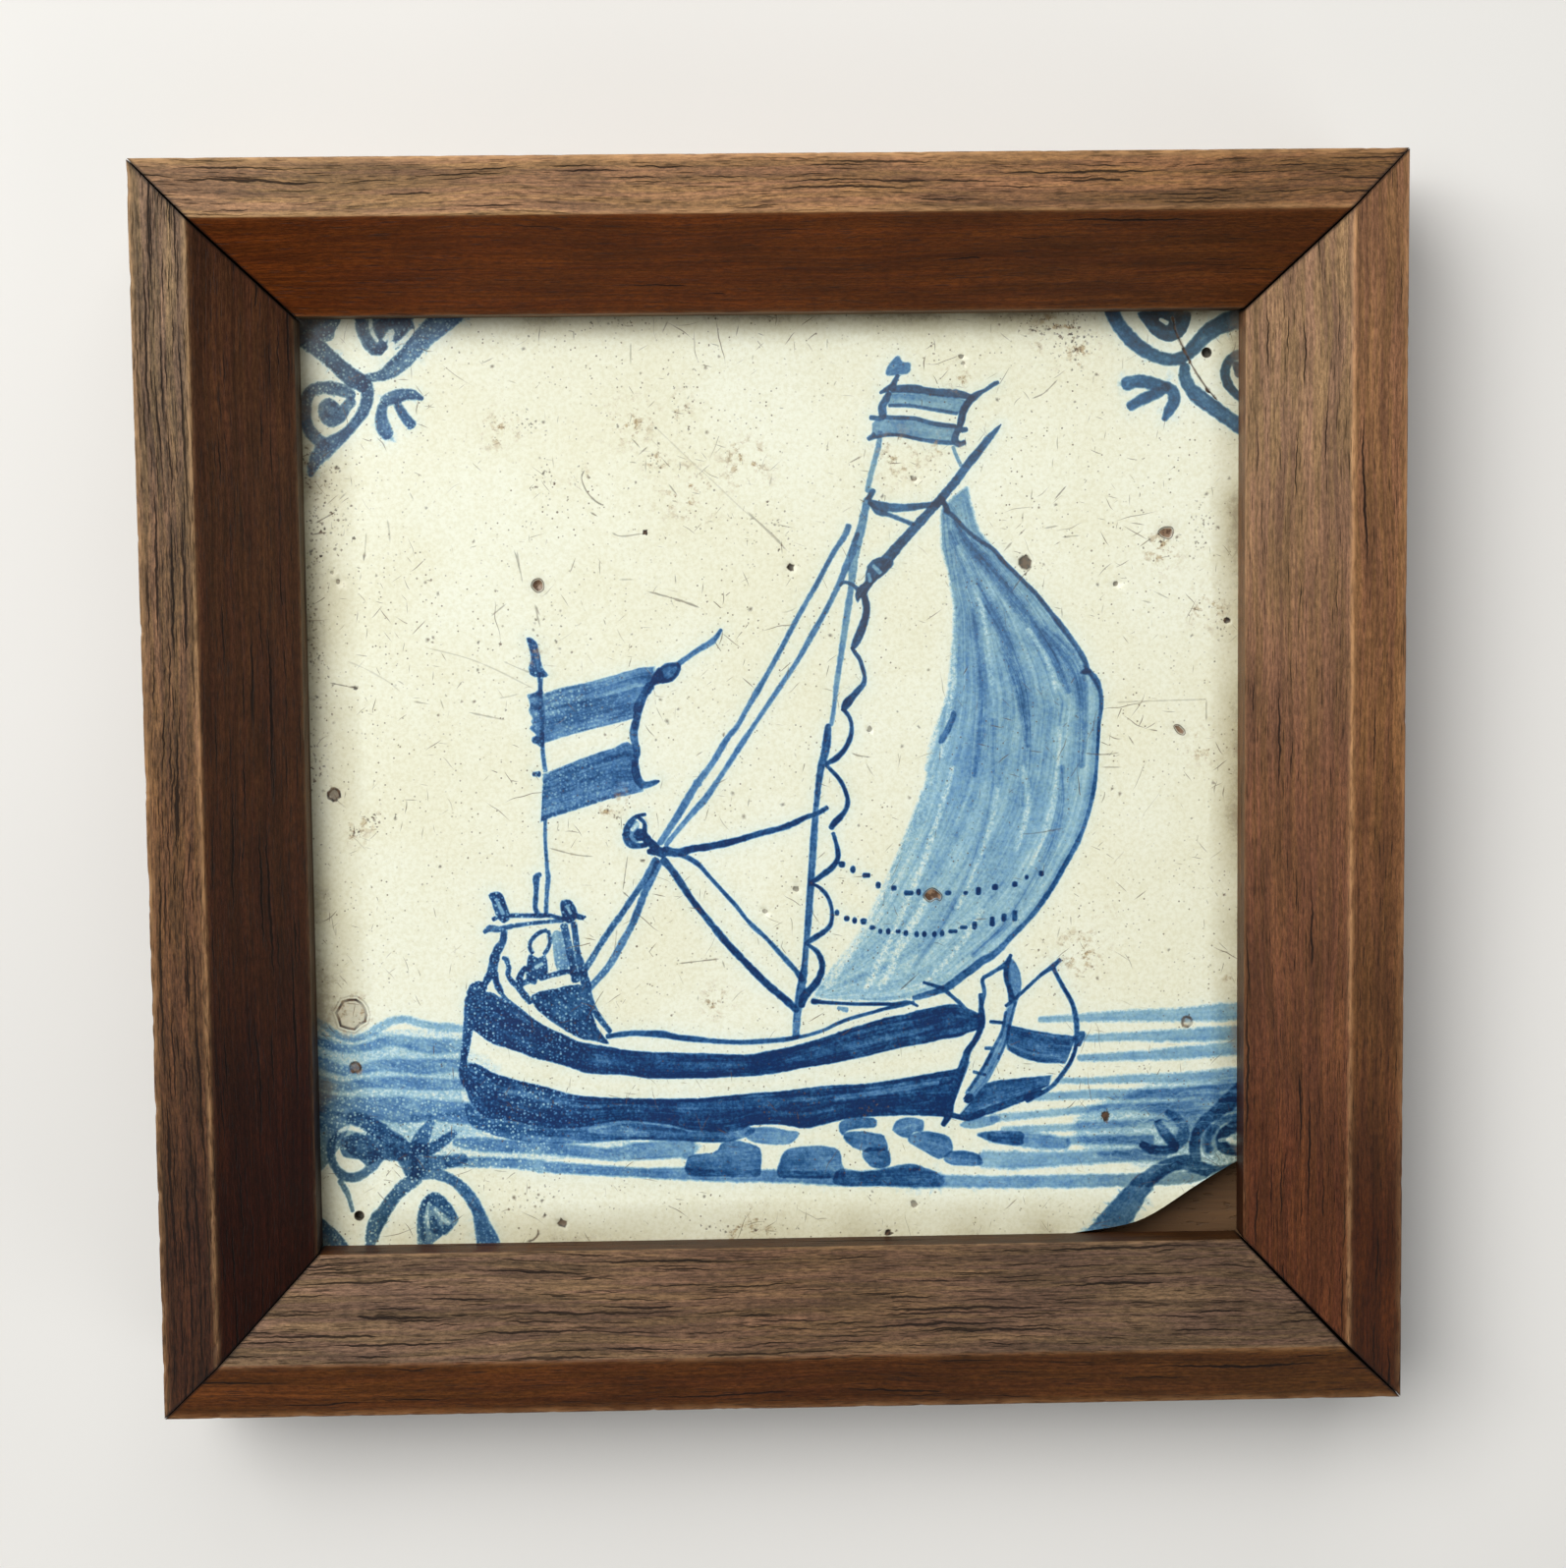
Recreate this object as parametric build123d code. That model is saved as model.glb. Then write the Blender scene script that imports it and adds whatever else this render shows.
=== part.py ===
from build123d import *
import math
import os

# A tin-glazed wall tile in a mitred hardwood frame, lying on its back.
# Millimetres. +Z is out of the tile's face, +Y is the top of the picture.
# The origin is the middle of the frame's back, on the surface it lies on.

# The tile: a fired clay slab cut with sloping edges, with one broken corner.
tile_side = 130.0
tile_thickness = 7.0
tile_edge_slope = 1.2        # how far each side leans in from the face to the back
glaze_edge_radius = 0.6      # the glaze rounds over the face's edges
break_along_bottom = 35.0    # the break's reach from the corner, along each side
break_along_right = 15.5
break_undercut = 2.2         # how much further it reaches at the tile's back
# The break's line, as shares of its two reaches, from the bottom side to the right one.
break_line = [(1, 0), (0.71, 0.27), (0.49, 0.36), (0.31, 0.60), (0.12, 0.86), (0, 1)]

# Marks left in two corners by the nails of the board that the clay was cut on.
prick_radius = 0.65
prick_depth = 2.0
top_right_prick = (8.2, 9.4)     # from the nearest upright side, and from the level one
bottom_left_prick = (8.9, 8.0)

# The moulding: an outer bevel, a ridge, and a steep inner bevel down to the tile.
moulding_width = 19.0
outer_bevel_width = 7.5
outer_bevel_drop = 2.6
inner_bevel_drop = 11.5
sight_wall = 5.0             # plain wall between the inner bevel and the tile
sight_overlap = 4.0          # how far the moulding covers the tile
tile_clearance = 1.0         # round the tile, in the rebate
arris_radius = 0.45          # the front's edges are eased
back_arris_radius = 0.8
mitre_gap = 0.12             # the dry joints have opened this much

# The back: a board behind the tile, held by flat steel points driven into the rails.
board_thickness = 2.5
board_clearance = 0.4
board_corner_radius = 1.5
back_recess = 2.0            # from the frame's back to the board
point_thickness = 0.5
point_width = 5.0
point_length = 11.0
point_driven = 5.0           # how much of it is in the wood
point_tip = 2.0
point_corner_radius = 0.8
point_spacing = 70.0         # between the two points of one rail

# A blind hole in the back of the top rail, for a hook or nail in the wall.
hang_hole_radius = 2.5
hang_hole_depth = 9.0
hang_hole_chamfer = 0.5

# Levels, from the frame's back to its ridge.
board_face_z = back_recess + board_thickness
tile_face_z = board_face_z + tile_thickness
sight_top_z = tile_face_z + sight_wall
ridge_z = sight_top_z + inner_bevel_drop
outer_top_z = ridge_z - outer_bevel_drop

# Distances from the middle of the frame.
sight_half = tile_side / 2 - sight_overlap
rebate_half = tile_side / 2 + tile_clearance
outer_half = sight_half + moulding_width
ridge_half = outer_half - outer_bevel_width
board_side = 2 * (rebate_half - board_clearance)
hang_hole_y = (rebate_half + outer_half) / 2

# The rails in order round the frame, each a quarter turn on from the bottom one.
rail_names = ["bottom", "right", "top", "left"]


def moulding_section():
    """The section of the bottom rail: sight side first, then over the ridge and round."""
    outline = Polyline(
        (-sight_half, tile_face_z),
        (-sight_half, sight_top_z),
        (-ridge_half, ridge_z),
        (-outer_half, outer_top_z),
        (-outer_half, 0),
        (-rebate_half, 0),
        (-rebate_half, tile_face_z),
        close=True,
    )
    section = make_face(outline)
    front_arrises = section.vertices().filter_by(lambda v: v.Y > sight_top_z - sight_wall / 2)
    section = fillet(front_arrises, arris_radius)
    outer_back = section.vertices().sort_by_distance((-outer_half, 0, 0))[0]
    return Plane.YZ * fillet(outer_back, back_arris_radius)


def mitre_wedge():
    """The space that the bottom rail may fill between its two mitres."""
    reach = outer_half + moulding_width
    set_back = mitre_gap / 2 * math.sqrt(2)
    corners = Polyline((0, -set_back), (-reach, -reach - set_back), (reach, -reach - set_back), close=True)
    return extrude(make_face(corners), ridge_z)


def fixing_points():
    """The two steel points of the bottom rail, flat against the back of the board."""
    wall_y = -rebate_half
    inner_y = wall_y + point_length - point_driven
    tip_y = wall_y - point_driven
    half = point_width / 2
    blade = make_face(
        Polyline(
            (-half, inner_y),
            (-half, tip_y + point_tip),
            (0, tip_y),
            (half, tip_y + point_tip),
            (half, inner_y),
            close=True,
        )
    )
    blade = fillet(blade.vertices().sort_by(Axis.Y)[-2:], point_corner_radius)
    blade = extrude(blade, point_thickness)
    lift = back_recess - point_thickness
    return [Pos(x, 0, lift) * blade for x in (-point_spacing / 2, point_spacing / 2)]


def plain_rail():
    """The bottom rail: the moulding cut to its mitres, with slots that the points fill."""
    rail = extrude(moulding_section(), outer_half, both=True) & mitre_wedge()
    for point in fixing_points():
        rail = rail - point
    return rail


def hanging_hole():
    """The blind hole and its chamfered mouth, as the shape to cut from the top rail."""
    shank = Cylinder(hang_hole_radius, hang_hole_depth, align=(Align.CENTER, Align.CENTER, Align.MIN))
    mouth = Cone(
        hang_hole_radius + hang_hole_chamfer,
        hang_hole_radius,
        hang_hole_chamfer,
        align=(Align.CENTER, Align.CENTER, Align.MIN),
    )
    return Pos(0, hang_hole_y, 0) * (shank + mouth)


def break_section(grow, level):
    """The area lost at the bottom right corner, at one level, with its reaches grown."""
    corner = tile_side / 2
    along_bottom, along_right = break_along_bottom + grow, break_along_right + grow
    line = [(corner - u * along_bottom, -corner + v * along_right) for u, v in break_line]
    outside = corner + break_undercut
    beyond = Polyline(line[-1], (outside, line[-1][1]), (outside, -outside), (line[0][0], -outside), line[0])
    return Pos(0, 0, level) * make_face([*Spline(*line).edges(), *beyond.edges()])


def broken_tile():
    """The whole slab with its sloping edges, less the broken corner and the two pricks."""
    slope = math.degrees(math.atan(tile_edge_slope / tile_thickness))
    face = Pos(0, 0, tile_face_z) * Rectangle(tile_side, tile_side)
    slab = extrude(face, -tile_thickness, taper=slope)
    slab = fillet(slab.faces().sort_by(Axis.Z)[-1].edges(), glaze_edge_radius)
    lost = loft([break_section(break_undercut, board_face_z), break_section(0, tile_face_z)], ruled=True)
    slab = slab - lost
    corner = tile_side / 2
    prick_places = [
        (corner - top_right_prick[0], corner - top_right_prick[1]),
        (-corner + bottom_left_prick[0], -corner + bottom_left_prick[1]),
    ]
    prick = Cylinder(prick_radius, prick_depth, align=(Align.CENTER, Align.CENTER, Align.MAX))
    for x, y in prick_places:
        slab = slab - Pos(x, y, tile_face_z) * prick
    return slab


def backing_board():
    """The thin board that closes the back of the rebate."""
    sheet = RectangleRounded(board_side, board_side, board_corner_radius)
    return Pos(0, 0, back_recess) * extrude(sheet, board_thickness)


def framed_tile():
    """Every piece by name, in place."""
    pieces = {"tile": broken_tile(), "backing_board": backing_board()}
    for turn, name in enumerate(rail_names):
        place = Rot(0, 0, 90 * turn)
        pieces[f"rail_{name}"] = place * plain_rail()
        for number, point in enumerate(fixing_points(), start=1):
            pieces[f"fixing_point_{name}_{number}"] = place * point
    pieces["rail_top"] = pieces["rail_top"] - hanging_hole()
    return pieces


os.makedirs("parts", exist_ok=True)
for name, piece in framed_tile().items():
    export_step(piece, f"parts/{name}.step")
    box = piece.bounding_box()
    print(name, round(piece.volume, 1), [round(v, 2) for v in (*box.min, *box.max)])
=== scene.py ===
"""A framed delft tile, dressed for the camera: painted glaze, worn hardwood, board and steel points."""

import math

import bmesh
import bpy
import numpy as np
from mathutils import Euler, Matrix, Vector
from mathutils.geometry import delaunay_2d_cdt


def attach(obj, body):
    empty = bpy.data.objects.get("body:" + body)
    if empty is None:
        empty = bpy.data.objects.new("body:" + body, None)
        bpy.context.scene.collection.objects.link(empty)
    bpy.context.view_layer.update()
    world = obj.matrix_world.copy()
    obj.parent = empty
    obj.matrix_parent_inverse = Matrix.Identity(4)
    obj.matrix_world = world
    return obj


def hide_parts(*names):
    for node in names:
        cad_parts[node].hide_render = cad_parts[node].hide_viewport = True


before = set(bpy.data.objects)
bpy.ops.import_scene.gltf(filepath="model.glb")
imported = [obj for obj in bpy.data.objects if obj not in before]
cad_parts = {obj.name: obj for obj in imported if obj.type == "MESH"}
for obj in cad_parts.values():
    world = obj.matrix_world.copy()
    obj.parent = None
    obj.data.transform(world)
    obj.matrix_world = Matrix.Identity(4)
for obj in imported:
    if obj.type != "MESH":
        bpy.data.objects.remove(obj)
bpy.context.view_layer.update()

# The camera that the photo was taken with, fitted to the frame's corners.
CAMERA_SPOT = (-0.00802, 0.03347, 0.3915)
CAMERA_TILT = (-5.0374, -1.4023, -0.6468)
FOCAL_PIXELS = 2949.7
PHOTO_WIDTH = 1594
PHOTO_HEIGHT = 1596
SENSOR = 36.0
PIXELS_PER_MM = 7.72    # of the photo, on the tile's face

# Levels and distances of the CAD model, in millimetres.
FACE_Z = 11.5
SIGHT_TOP_Z = 16.5
RIDGE_Z = 28.0
OUTER_TOP_Z = 25.4
SIGHT_HALF = 61.0
REBATE_HALF = 66.0
RIDGE_HALF = 72.5
OUTER_HALF = 80.0
ARRIS_RADIUS = 0.45
BACK_ARRIS_RADIUS = 0.8
MITRE_SET_BACK = 0.085
TILE_HALF = 65.0
TILE_BACK_Z = 4.5
GLAZE_REACH = 1.2       # how far down its sides the tile is glazed
PRICKS = np.array([(56.8, 55.6), (-56.1, -57.0)])
PRICK_FLOOR_Z = 9.0     # just under the floor of the two nail marks
HOLE_Y = 73.0
HOLE_RADIUS = 2.5
HOLE_CHAMFER = 0.5
HOLE_DEPTH = 9.0
MM = 0.001

dice = np.random.default_rng(1660)


# The painting, as brush strokes.
# Every point is (x, y) on the photo's 1594 x 1596 frame, with the stroke's width after it.
# The number before a stroke is how thick its pigment lies, from 0 to 1.

OX_HEAD_TOP_LEFT = [
    (0.78, [(300, 342, 14), (312, 347, 16), (322, 353, 17), (335, 364, 16), (348, 376, 16), (360, 386, 17),
        (370, 392, 14)]),
    (0.7, [(368, 386, 9), (380, 384, 9), (392, 381, 12), (404, 372, 16), (414, 363, 18), (424, 351, 19),
        (438, 337, 21), (452, 326, 22), (464, 318, 20)]),
    (0.68, [(365, 318, 9), (366, 328, 9), (368, 338, 10), (374, 349, 11), (381, 356, 11), (388, 357, 9)]),
    (0.8, [(386, 342, 7), (386, 334, 8), (392, 328, 11), (402, 325, 12), (412, 327, 11), (417, 333, 9),
        (411, 342, 9), (405, 350, 8), (402, 354, 5)]),
    (0.6, [(386, 342, 8), (390, 349, 8), (391, 355, 7)]),
    (0.72, [(364, 386, 15), (371, 394, 14)]),
    (0.7, [(373, 390, 13), (374, 404, 13), (370, 418, 11), (361, 431, 10), (352, 441, 11), (343, 448, 13),
        (333, 455, 17), (323, 466, 15), (318, 476, 11), (316, 484, 5)]),
    (0.68, [(359, 403, 9), (350, 398, 12), (338, 395, 12), (325, 395, 12), (315, 400, 12), (311, 412, 12),
        (311, 426, 12), (315, 438, 12), (324, 448, 13), (332, 454, 13)]),
    (0.66, [(358, 408, 10), (351, 416, 12), (344, 426, 12), (336, 429, 11), (329, 422, 10), (329, 413, 9),
        (335, 409, 8), (341, 412, 6)]),
    (0.7, [(390, 409, 9), (399, 405, 13), (411, 402, 12), (421, 402, 10), (430, 406, 4)]),
    (0.66, [(390, 411, 9), (388, 425, 12), (391, 437, 14), (395, 443, 12)]),
    (0.66, [(404, 411, 8), (411, 423, 10), (419, 433, 10)]),
]
OX_HEAD_TOP_RIGHT = [
    (0.66, [(1130, 312, 14), (1135, 324, 15), (1142, 335, 16), (1156, 350, 15), (1173, 361, 14),
        (1190, 366, 13), (1203, 364, 13), (1214, 355, 15), (1228, 340, 17), (1240, 332, 18),
        (1254, 326, 20), (1268, 322, 20)]),
    (0.66, [(1206, 372, 10), (1206, 384, 13), (1213, 397, 15), (1224, 407, 16), (1238, 417, 16),
        (1252, 427, 16), (1268, 438, 14)]),
    (0.8, [(1262, 360, 10), (1252, 366, 10), (1247, 378, 10), (1250, 391, 10), (1258, 401, 9),
        (1266, 408, 8)]),
    (0.85, [(1258, 370, 8), (1262, 382, 9)]),
    (0.62, [(1189, 394, 9), (1176, 391, 13), (1160, 388, 14), (1145, 391, 14)]),
    (0.62, [(1187, 396, 9), (1173, 402, 12), (1160, 408, 12), (1150, 414, 10)]),
    (0.64, [(1186, 392, 10), (1194, 399, 13), (1195, 408, 13), (1190, 418, 11), (1185, 427, 6)]),
]
OX_HEAD_BOTTOM_LEFT = [
    (0.74, [(356, 1138, 12), (370, 1141, 15), (385, 1150, 17), (398, 1160, 17), (409, 1170, 19),
        (416, 1183, 17), (421, 1196, 16)]),
    (0.7, [(384, 1174, 12), (396, 1172, 18), (408, 1173, 18)]),
    (0.66, [(386, 1179, 10), (376, 1190, 10), (363, 1198, 10), (350, 1197, 10), (341, 1188, 9),
        (337, 1176, 9), (338, 1163, 9), (345, 1154, 7)]),
    (0.72, [(422, 1170, 15), (429, 1159, 15), (435, 1148, 12), (440, 1142, 7)]),
    (0.72, [(434, 1172, 14), (446, 1165, 12), (456, 1158, 10), (463, 1153, 7)]),
    (0.7, [(438, 1184, 15), (453, 1183, 14), (464, 1181, 13), (473, 1179, 10)]),
    (0.76, [(427, 1168, 16), (428, 1182, 18), (426, 1195, 16)]),
    (0.72, [(424, 1199, 15), (410, 1209, 15), (400, 1220, 14), (391, 1233, 14), (383, 1245, 17),
        (379, 1257, 14), (376, 1270, 10)]),
    (0.72, [(428, 1195, 13), (443, 1195, 12), (458, 1200, 11), (470, 1209, 12), (480, 1221, 13),
        (487, 1234, 14), (491, 1247, 17), (496, 1262, 22), (499, 1272, 24)]),
    (0.66, [(430, 1270, 9), (429, 1256, 9), (428, 1243, 8), (431, 1230, 9), (438, 1221, 12),
        (446, 1222, 14), (455, 1230, 13), (462, 1240, 7)]),
    (0.66, [(441, 1240, 8), (442, 1250, 10), (450, 1253, 10), (458, 1248, 8)]),
    (0.55, [(346, 1202, 6), (352, 1212, 6), (356, 1222, 5), (359, 1233, 4)]),
]
OX_HEAD_BOTTOM_RIGHT = [
    (0.6, [(1178, 1142, 8), (1184, 1151, 10), (1191, 1160, 10), (1197, 1168, 9)]),
    (0.45, [(1188, 1132, 7), (1197, 1138, 9), (1204, 1147, 11), (1204, 1158, 12), (1198, 1167, 9)]),
    (0.66, [(1162, 1165, 7), (1172, 1170, 10), (1185, 1171, 10), (1197, 1169, 9)]),
    (0.66, [(1217, 1182, 11), (1216, 1166, 11), (1219, 1152, 11), (1227, 1141, 12), (1240, 1131, 14),
        (1256, 1117, 17), (1268, 1106, 18)]),
    (0.6, [(1112, 1272, 30), (1127, 1252, 30), (1139, 1237, 28), (1151, 1221, 24), (1163, 1206, 19),
        (1178, 1193, 15), (1193, 1185, 14), (1210, 1181, 12)]),
    (0.72, [(1168, 1207, 6), (1180, 1196, 9), (1193, 1188, 10), (1208, 1186, 10), (1222, 1189, 13),
        (1236, 1193, 13), (1252, 1192, 12)]),
    (0.5, [(1262, 1137, 9), (1246, 1140, 8), (1235, 1149, 8), (1229, 1160, 8), (1231, 1171, 8)]),
    (0.8, [(1262, 1146, 11), (1250, 1150, 11), (1243, 1159, 11), (1247, 1169, 11), (1262, 1172, 11)]),
]

MASTHEAD = [
    (0.85, [(914, 382, 4), (910, 390, 6), (908, 396, 8)]),
    (0.85, [(896, 400, 3), (903, 396, 6), (910, 392, 6)]),
    (0.75, [(908, 396, 9), (930, 396, 9), (950, 399, 8), (975, 401, 9), (990, 405, 6)]),
    (0.6, [(905, 413, 4), (925, 413, 4), (950, 417, 4), (974, 421, 4)]),
    (0.8, [(899, 424, 6), (905, 425, 5), (930, 426, 5), (950, 431, 5), (972, 434, 5)]),
    (0.7, [(886, 446, 5), (900, 443, 4), (916, 443, 4), (935, 447, 4), (955, 450, 5), (970, 451, 5)]),
    (0.75, [(886, 425, 5), (899, 426, 5)]),
    (0.75, [(884, 447, 5), (890, 442, 5)]),
    (0.85, [(990, 405, 7), (984, 412, 8), (980, 420, 8), (978, 430, 7), (974, 440, 7), (972, 448, 8),
        (976, 452, 7), (982, 450, 5)]),
    (0.8, [(984, 437, 5), (979, 438, 6)]),
    (0.8, [(990, 405, 9), (997, 400, 6), (1003, 397, 4), (1010, 392, 5), (1016, 389, 4)]),
    (0.45, [(970, 455, 4), (974, 465, 4), (978, 474, 4)]),
]
MAST = [
    (0.85, [(905, 400, 6), (901, 408, 8), (898, 414, 9), (899, 424, 8)]),
    (0.45, [(896, 440, 6), (894, 455, 6), (890, 470, 6), (886, 485, 6), (883, 500, 6)]),
    (0.85, [(889, 499, 6), (884, 508, 7)]),
    (0.5, [(883, 508, 8), (880, 522, 8), (876, 540, 10), (870, 560, 11), (868, 580, 9), (866, 600, 7),
        (863, 620, 8), (860, 640, 7), (857, 660, 7), (854, 680, 6), (851, 700, 6), (849, 720, 5),
        (846, 738, 5)]),
    (0.6, [(873, 543, 5), (870, 552, 6)]),
    (0.8, [(843, 738, 6), (842, 750, 9), (840, 765, 9), (836, 780, 8), (833, 800, 7), (831, 820, 6)]),
    (0.7, [(831, 818, 6), (829, 850, 7), (827, 880, 7), (825, 910, 7), (823, 940, 7), (821, 960, 6),
        (819, 985, 7), (816, 1005, 9), (813, 1025, 8), (811, 1040, 8), (810, 1056, 8)]),
    (0.5, [(829, 818, 2), (826, 850, 2.5), (824, 880, 2.5), (822, 910, 2.5), (820, 940, 2.5),
        (817, 980, 2.5), (811, 1010, 2.5), (808, 1040, 2.5)]),
]
GAFF = [
    (0.8, [(1019, 432, 1), (1012, 440, 6), (1005, 448, 8), (995, 461, 9), (985, 473, 9), (975, 487, 9),
        (965, 499, 9), (955, 511, 10), (945, 522, 9), (935, 533, 10), (925, 544, 10), (915, 555, 11),
        (905, 567, 12), (897, 578, 13)]),
    (0.7, [(885, 511, 6), (892, 514, 9), (900, 516, 10), (915, 517, 9), (930, 516, 8), (945, 514, 6),
        (955, 513, 7)]),
    (0.65, [(886, 512, 5), (894, 521, 7), (905, 524, 5), (915, 528, 5), (930, 534, 5)]),
    (0.85, [(957, 506, 6), (962, 514, 6), (965, 521, 6)]),
    (0.75, [(855, 596, 3), (858, 593, 4), (863, 593, 4), (869, 596, 4), (873, 600, 5)]),
]
STAYS = [
    (0.6, [(864, 535, 6), (860, 545, 6), (850, 560, 5), (840, 578, 5), (830, 597, 5), (820, 614, 5),
        (810, 632, 5), (800, 651, 5), (790, 670, 5), (780, 688, 5), (770, 705, 6), (760, 722, 5),
        (750, 740, 5), (740, 752, 6), (725, 777, 6), (708, 800, 7), (690, 830, 7), (672, 858, 6)]),
    (0.58, [(870, 556, 8), (862, 575, 7), (856, 590, 6), (843, 617, 5), (829, 642, 6), (812, 672, 5),
        (800, 690, 5), (790, 705, 5), (775, 727, 5), (765, 742, 5), (755, 757, 6), (735, 788, 5),
        (718, 813, 7), (708, 824, 6), (690, 845, 5), (678, 860, 5)]),
    (0.9, [(676, 866, 9), (690, 868, 8), (705, 864, 7), (720, 862, 7), (740, 858, 7), (755, 854, 6),
        (775, 848, 6), (795, 843, 6), (808, 838, 6), (820, 832, 5), (832, 828, 5), (842, 822, 5)]),
    (0.75, [(690, 869, 5), (700, 873, 5), (711, 880, 5), (720, 890, 4), (730, 901, 4), (740, 912, 4),
        (750, 923, 4), (760, 936, 4), (770, 946, 5), (780, 955, 4), (790, 966, 5), (800, 977, 5),
        (810, 988, 5), (817, 998, 6)]),
    (0.9, [(675, 875, 7), (685, 887, 7), (695, 902, 7), (705, 917, 6), (718, 933, 6), (730, 948, 7),
        (740, 960, 7), (760, 981, 7), (780, 1001, 7), (800, 1018, 7), (811, 1029, 6)]),
    (0.7, [(668, 875, 8), (660, 890, 7), (652, 902, 6), (643, 915, 6), (633, 930, 6), (622, 945, 6),
        (612, 960, 6), (603, 975, 6), (592, 992, 7)]),
    (0.65, [(670, 878, 8), (664, 893, 7), (657, 907, 7), (650, 925, 7), (643, 942, 7), (633, 960, 7),
        (625, 975, 7), (617, 987, 7), (608, 997, 6), (597, 1009, 7)]),
    (0.92, [(668, 863, 8), (660, 856, 8), (655, 850, 9)]),
    (0.9, [(660, 867, 5), (668, 866, 9), (676, 869, 9)]),
    (0.88, [(657, 829, 3), (648, 831, 4), (641, 838, 6), (637, 848, 6), (640, 858, 7), (648, 861, 6),
        (658, 860, 5)]),
    (0.85, [(650, 832, 4), (656, 838, 4), (656, 846, 6)]),
    (0.55, [(646, 838, 9), (645, 848, 9), (648, 855, 8)]),
    (0.85, [(650, 852, 12), (653, 847, 10)]),
    (0.8, [(634, 850, 3), (640, 848, 4)]),
]
LUFF = [
    (0.9, [(880, 608, 6), (882, 618, 7), (881, 628, 7), (877, 640, 8), (873, 650, 8), (869, 658, 6)]),
    (0.9, [(867, 659, 3), (870, 664, 4), (875, 671, 4), (878, 680, 4), (880, 688, 4), (879, 696, 5),
        (874, 702, 6), (868, 709, 7), (862, 716, 8), (859, 721, 6)]),
    (0.9, [(857, 722, 3), (861, 725, 4), (865, 731, 4), (867, 740, 4), (866, 749, 5), (863, 757, 5),
        (858, 765, 5), (851, 772, 6), (844, 776, 5), (841, 778, 4)]),
    (0.9, [(841, 779, 3), (848, 786, 4), (855, 794, 4), (860, 804, 4), (863, 815, 5), (861, 824, 5),
        (855, 832, 6), (849, 838, 6), (846, 843, 5)]),
    (0.9, [(848, 848, 4), (851, 858, 4), (853, 868, 5), (852, 876, 5), (846, 884, 6), (838, 890, 6),
        (830, 896, 5), (824, 899, 3)]),
    (0.9, [(824, 900, 3), (830, 901, 3), (836, 905, 4), (842, 912, 4), (846, 922, 4), (847, 932, 4),
        (845, 942, 5), (838, 949, 5), (830, 954, 6), (824, 958, 5), (820, 960, 3)]),
    (0.9, [(822, 961, 3), (826, 964, 4), (832, 969, 5), (836, 977, 6), (837, 985, 6), (834, 995, 7),
        (828, 1004, 7), (821, 1011, 8), (817, 1018, 8), (816, 1024, 6)]),
]
LEECH = [
    (1098, 659), (1104, 672), (1108, 683), (1115, 691), (1119, 700), (1121, 710), (1121, 720), (1119, 735),
    (1118, 750), (1117, 765), (1116, 782), (1114, 800), (1111, 815), (1107, 830), (1102, 845), (1097, 857),
    (1090, 870), (1082, 884), (1073, 900), (1063, 915), (1052, 930), (1040, 943), (1028, 955), (1018, 966),
    (1008, 974), (1000, 978), (990, 986), (980, 993), (970, 1001), (960, 1007), (945, 1012), (930, 1016),
    (915, 1019), (900, 1020), (885, 1020), (870, 1019), (850, 1018), (840, 1017),
]
HEAD_OF_SAIL = [
    (973, 502), (985, 495), (988, 508), (992, 522), (998, 540), (1010, 555), (1020, 567), (1030, 577),
    (1042, 590), (1055, 604), (1067, 619), (1078, 633), (1088, 646),
]
SAIL_LINES = [
    (0.72, [(962, 520, 5), (970, 525, 5), (980, 536, 5), (990, 545, 5), (1000, 552, 5), (1012, 560, 5),
        (1020, 570, 5), (1030, 580, 5), (1042, 592, 5), (1055, 605, 5), (1067, 620, 5), (1078, 634, 6),
        (1088, 647, 6), (1097, 660, 6), (1104, 672, 6), (1107, 680, 5)]),
    (0.74, [(x, y, wide) for (x, y), wide in zip(LEECH[2:], (
        6, 7, 6, 5, 5, 4, 4, 4, 4, 5, 5, 5, 5, 6, 6, 6, 6, 6, 6, 6, 6, 7, 8, 9, 9, 9, 9, 8, 7, 6))]),
    (0.8, [(930, 1020, 4), (915, 1024, 4), (900, 1027, 4), (890, 1030, 4), (875, 1034, 4), (862, 1038, 4),
        (850, 1043, 4), (840, 1048, 4), (825, 1053, 4), (812, 1056, 4), (800, 1058, 4)]),
    (0.9, [(827, 1019, 7), (835, 1020, 5), (850, 1021, 4), (870, 1022, 4), (890, 1022, 4), (910, 1022, 4),
        (925, 1020, 4), (934, 1024, 3)]),
    (0.5, [(853, 1026, 4), (862, 1028, 6)]),
    (0.85, [(940, 1000, 3), (950, 1003, 4), (960, 1007, 5), (970, 1015, 4), (978, 1022, 5),
        (985, 1030, 5)]),
]
# The sail's wash lies between its soft left edge and its leech.
SAIL_LEFT_EDGE = [
    (957, 518), (957, 540), (958, 560), (964, 580), (967, 600), (970, 620), (969, 645), (967, 670),
    (965, 695), (961, 715), (956, 735), (952, 755), (945, 775), (941, 797), (936, 808), (930, 825),
    (924, 840), (918, 855), (912, 870), (905, 885), (898, 900), (893, 912), (886, 925), (880, 938),
    (872, 950), (862, 965), (850, 980), (840, 993), (832, 1004), (826, 1015),
]
WATER_WASHES = [
    (0.26, [(1110, 1150, 46), (1180, 1146, 84), (1266, 1140, 104)]),
    (0.14, [(296, 1100, 104), (390, 1108, 104), (474, 1114, 84)]),
]

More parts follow.
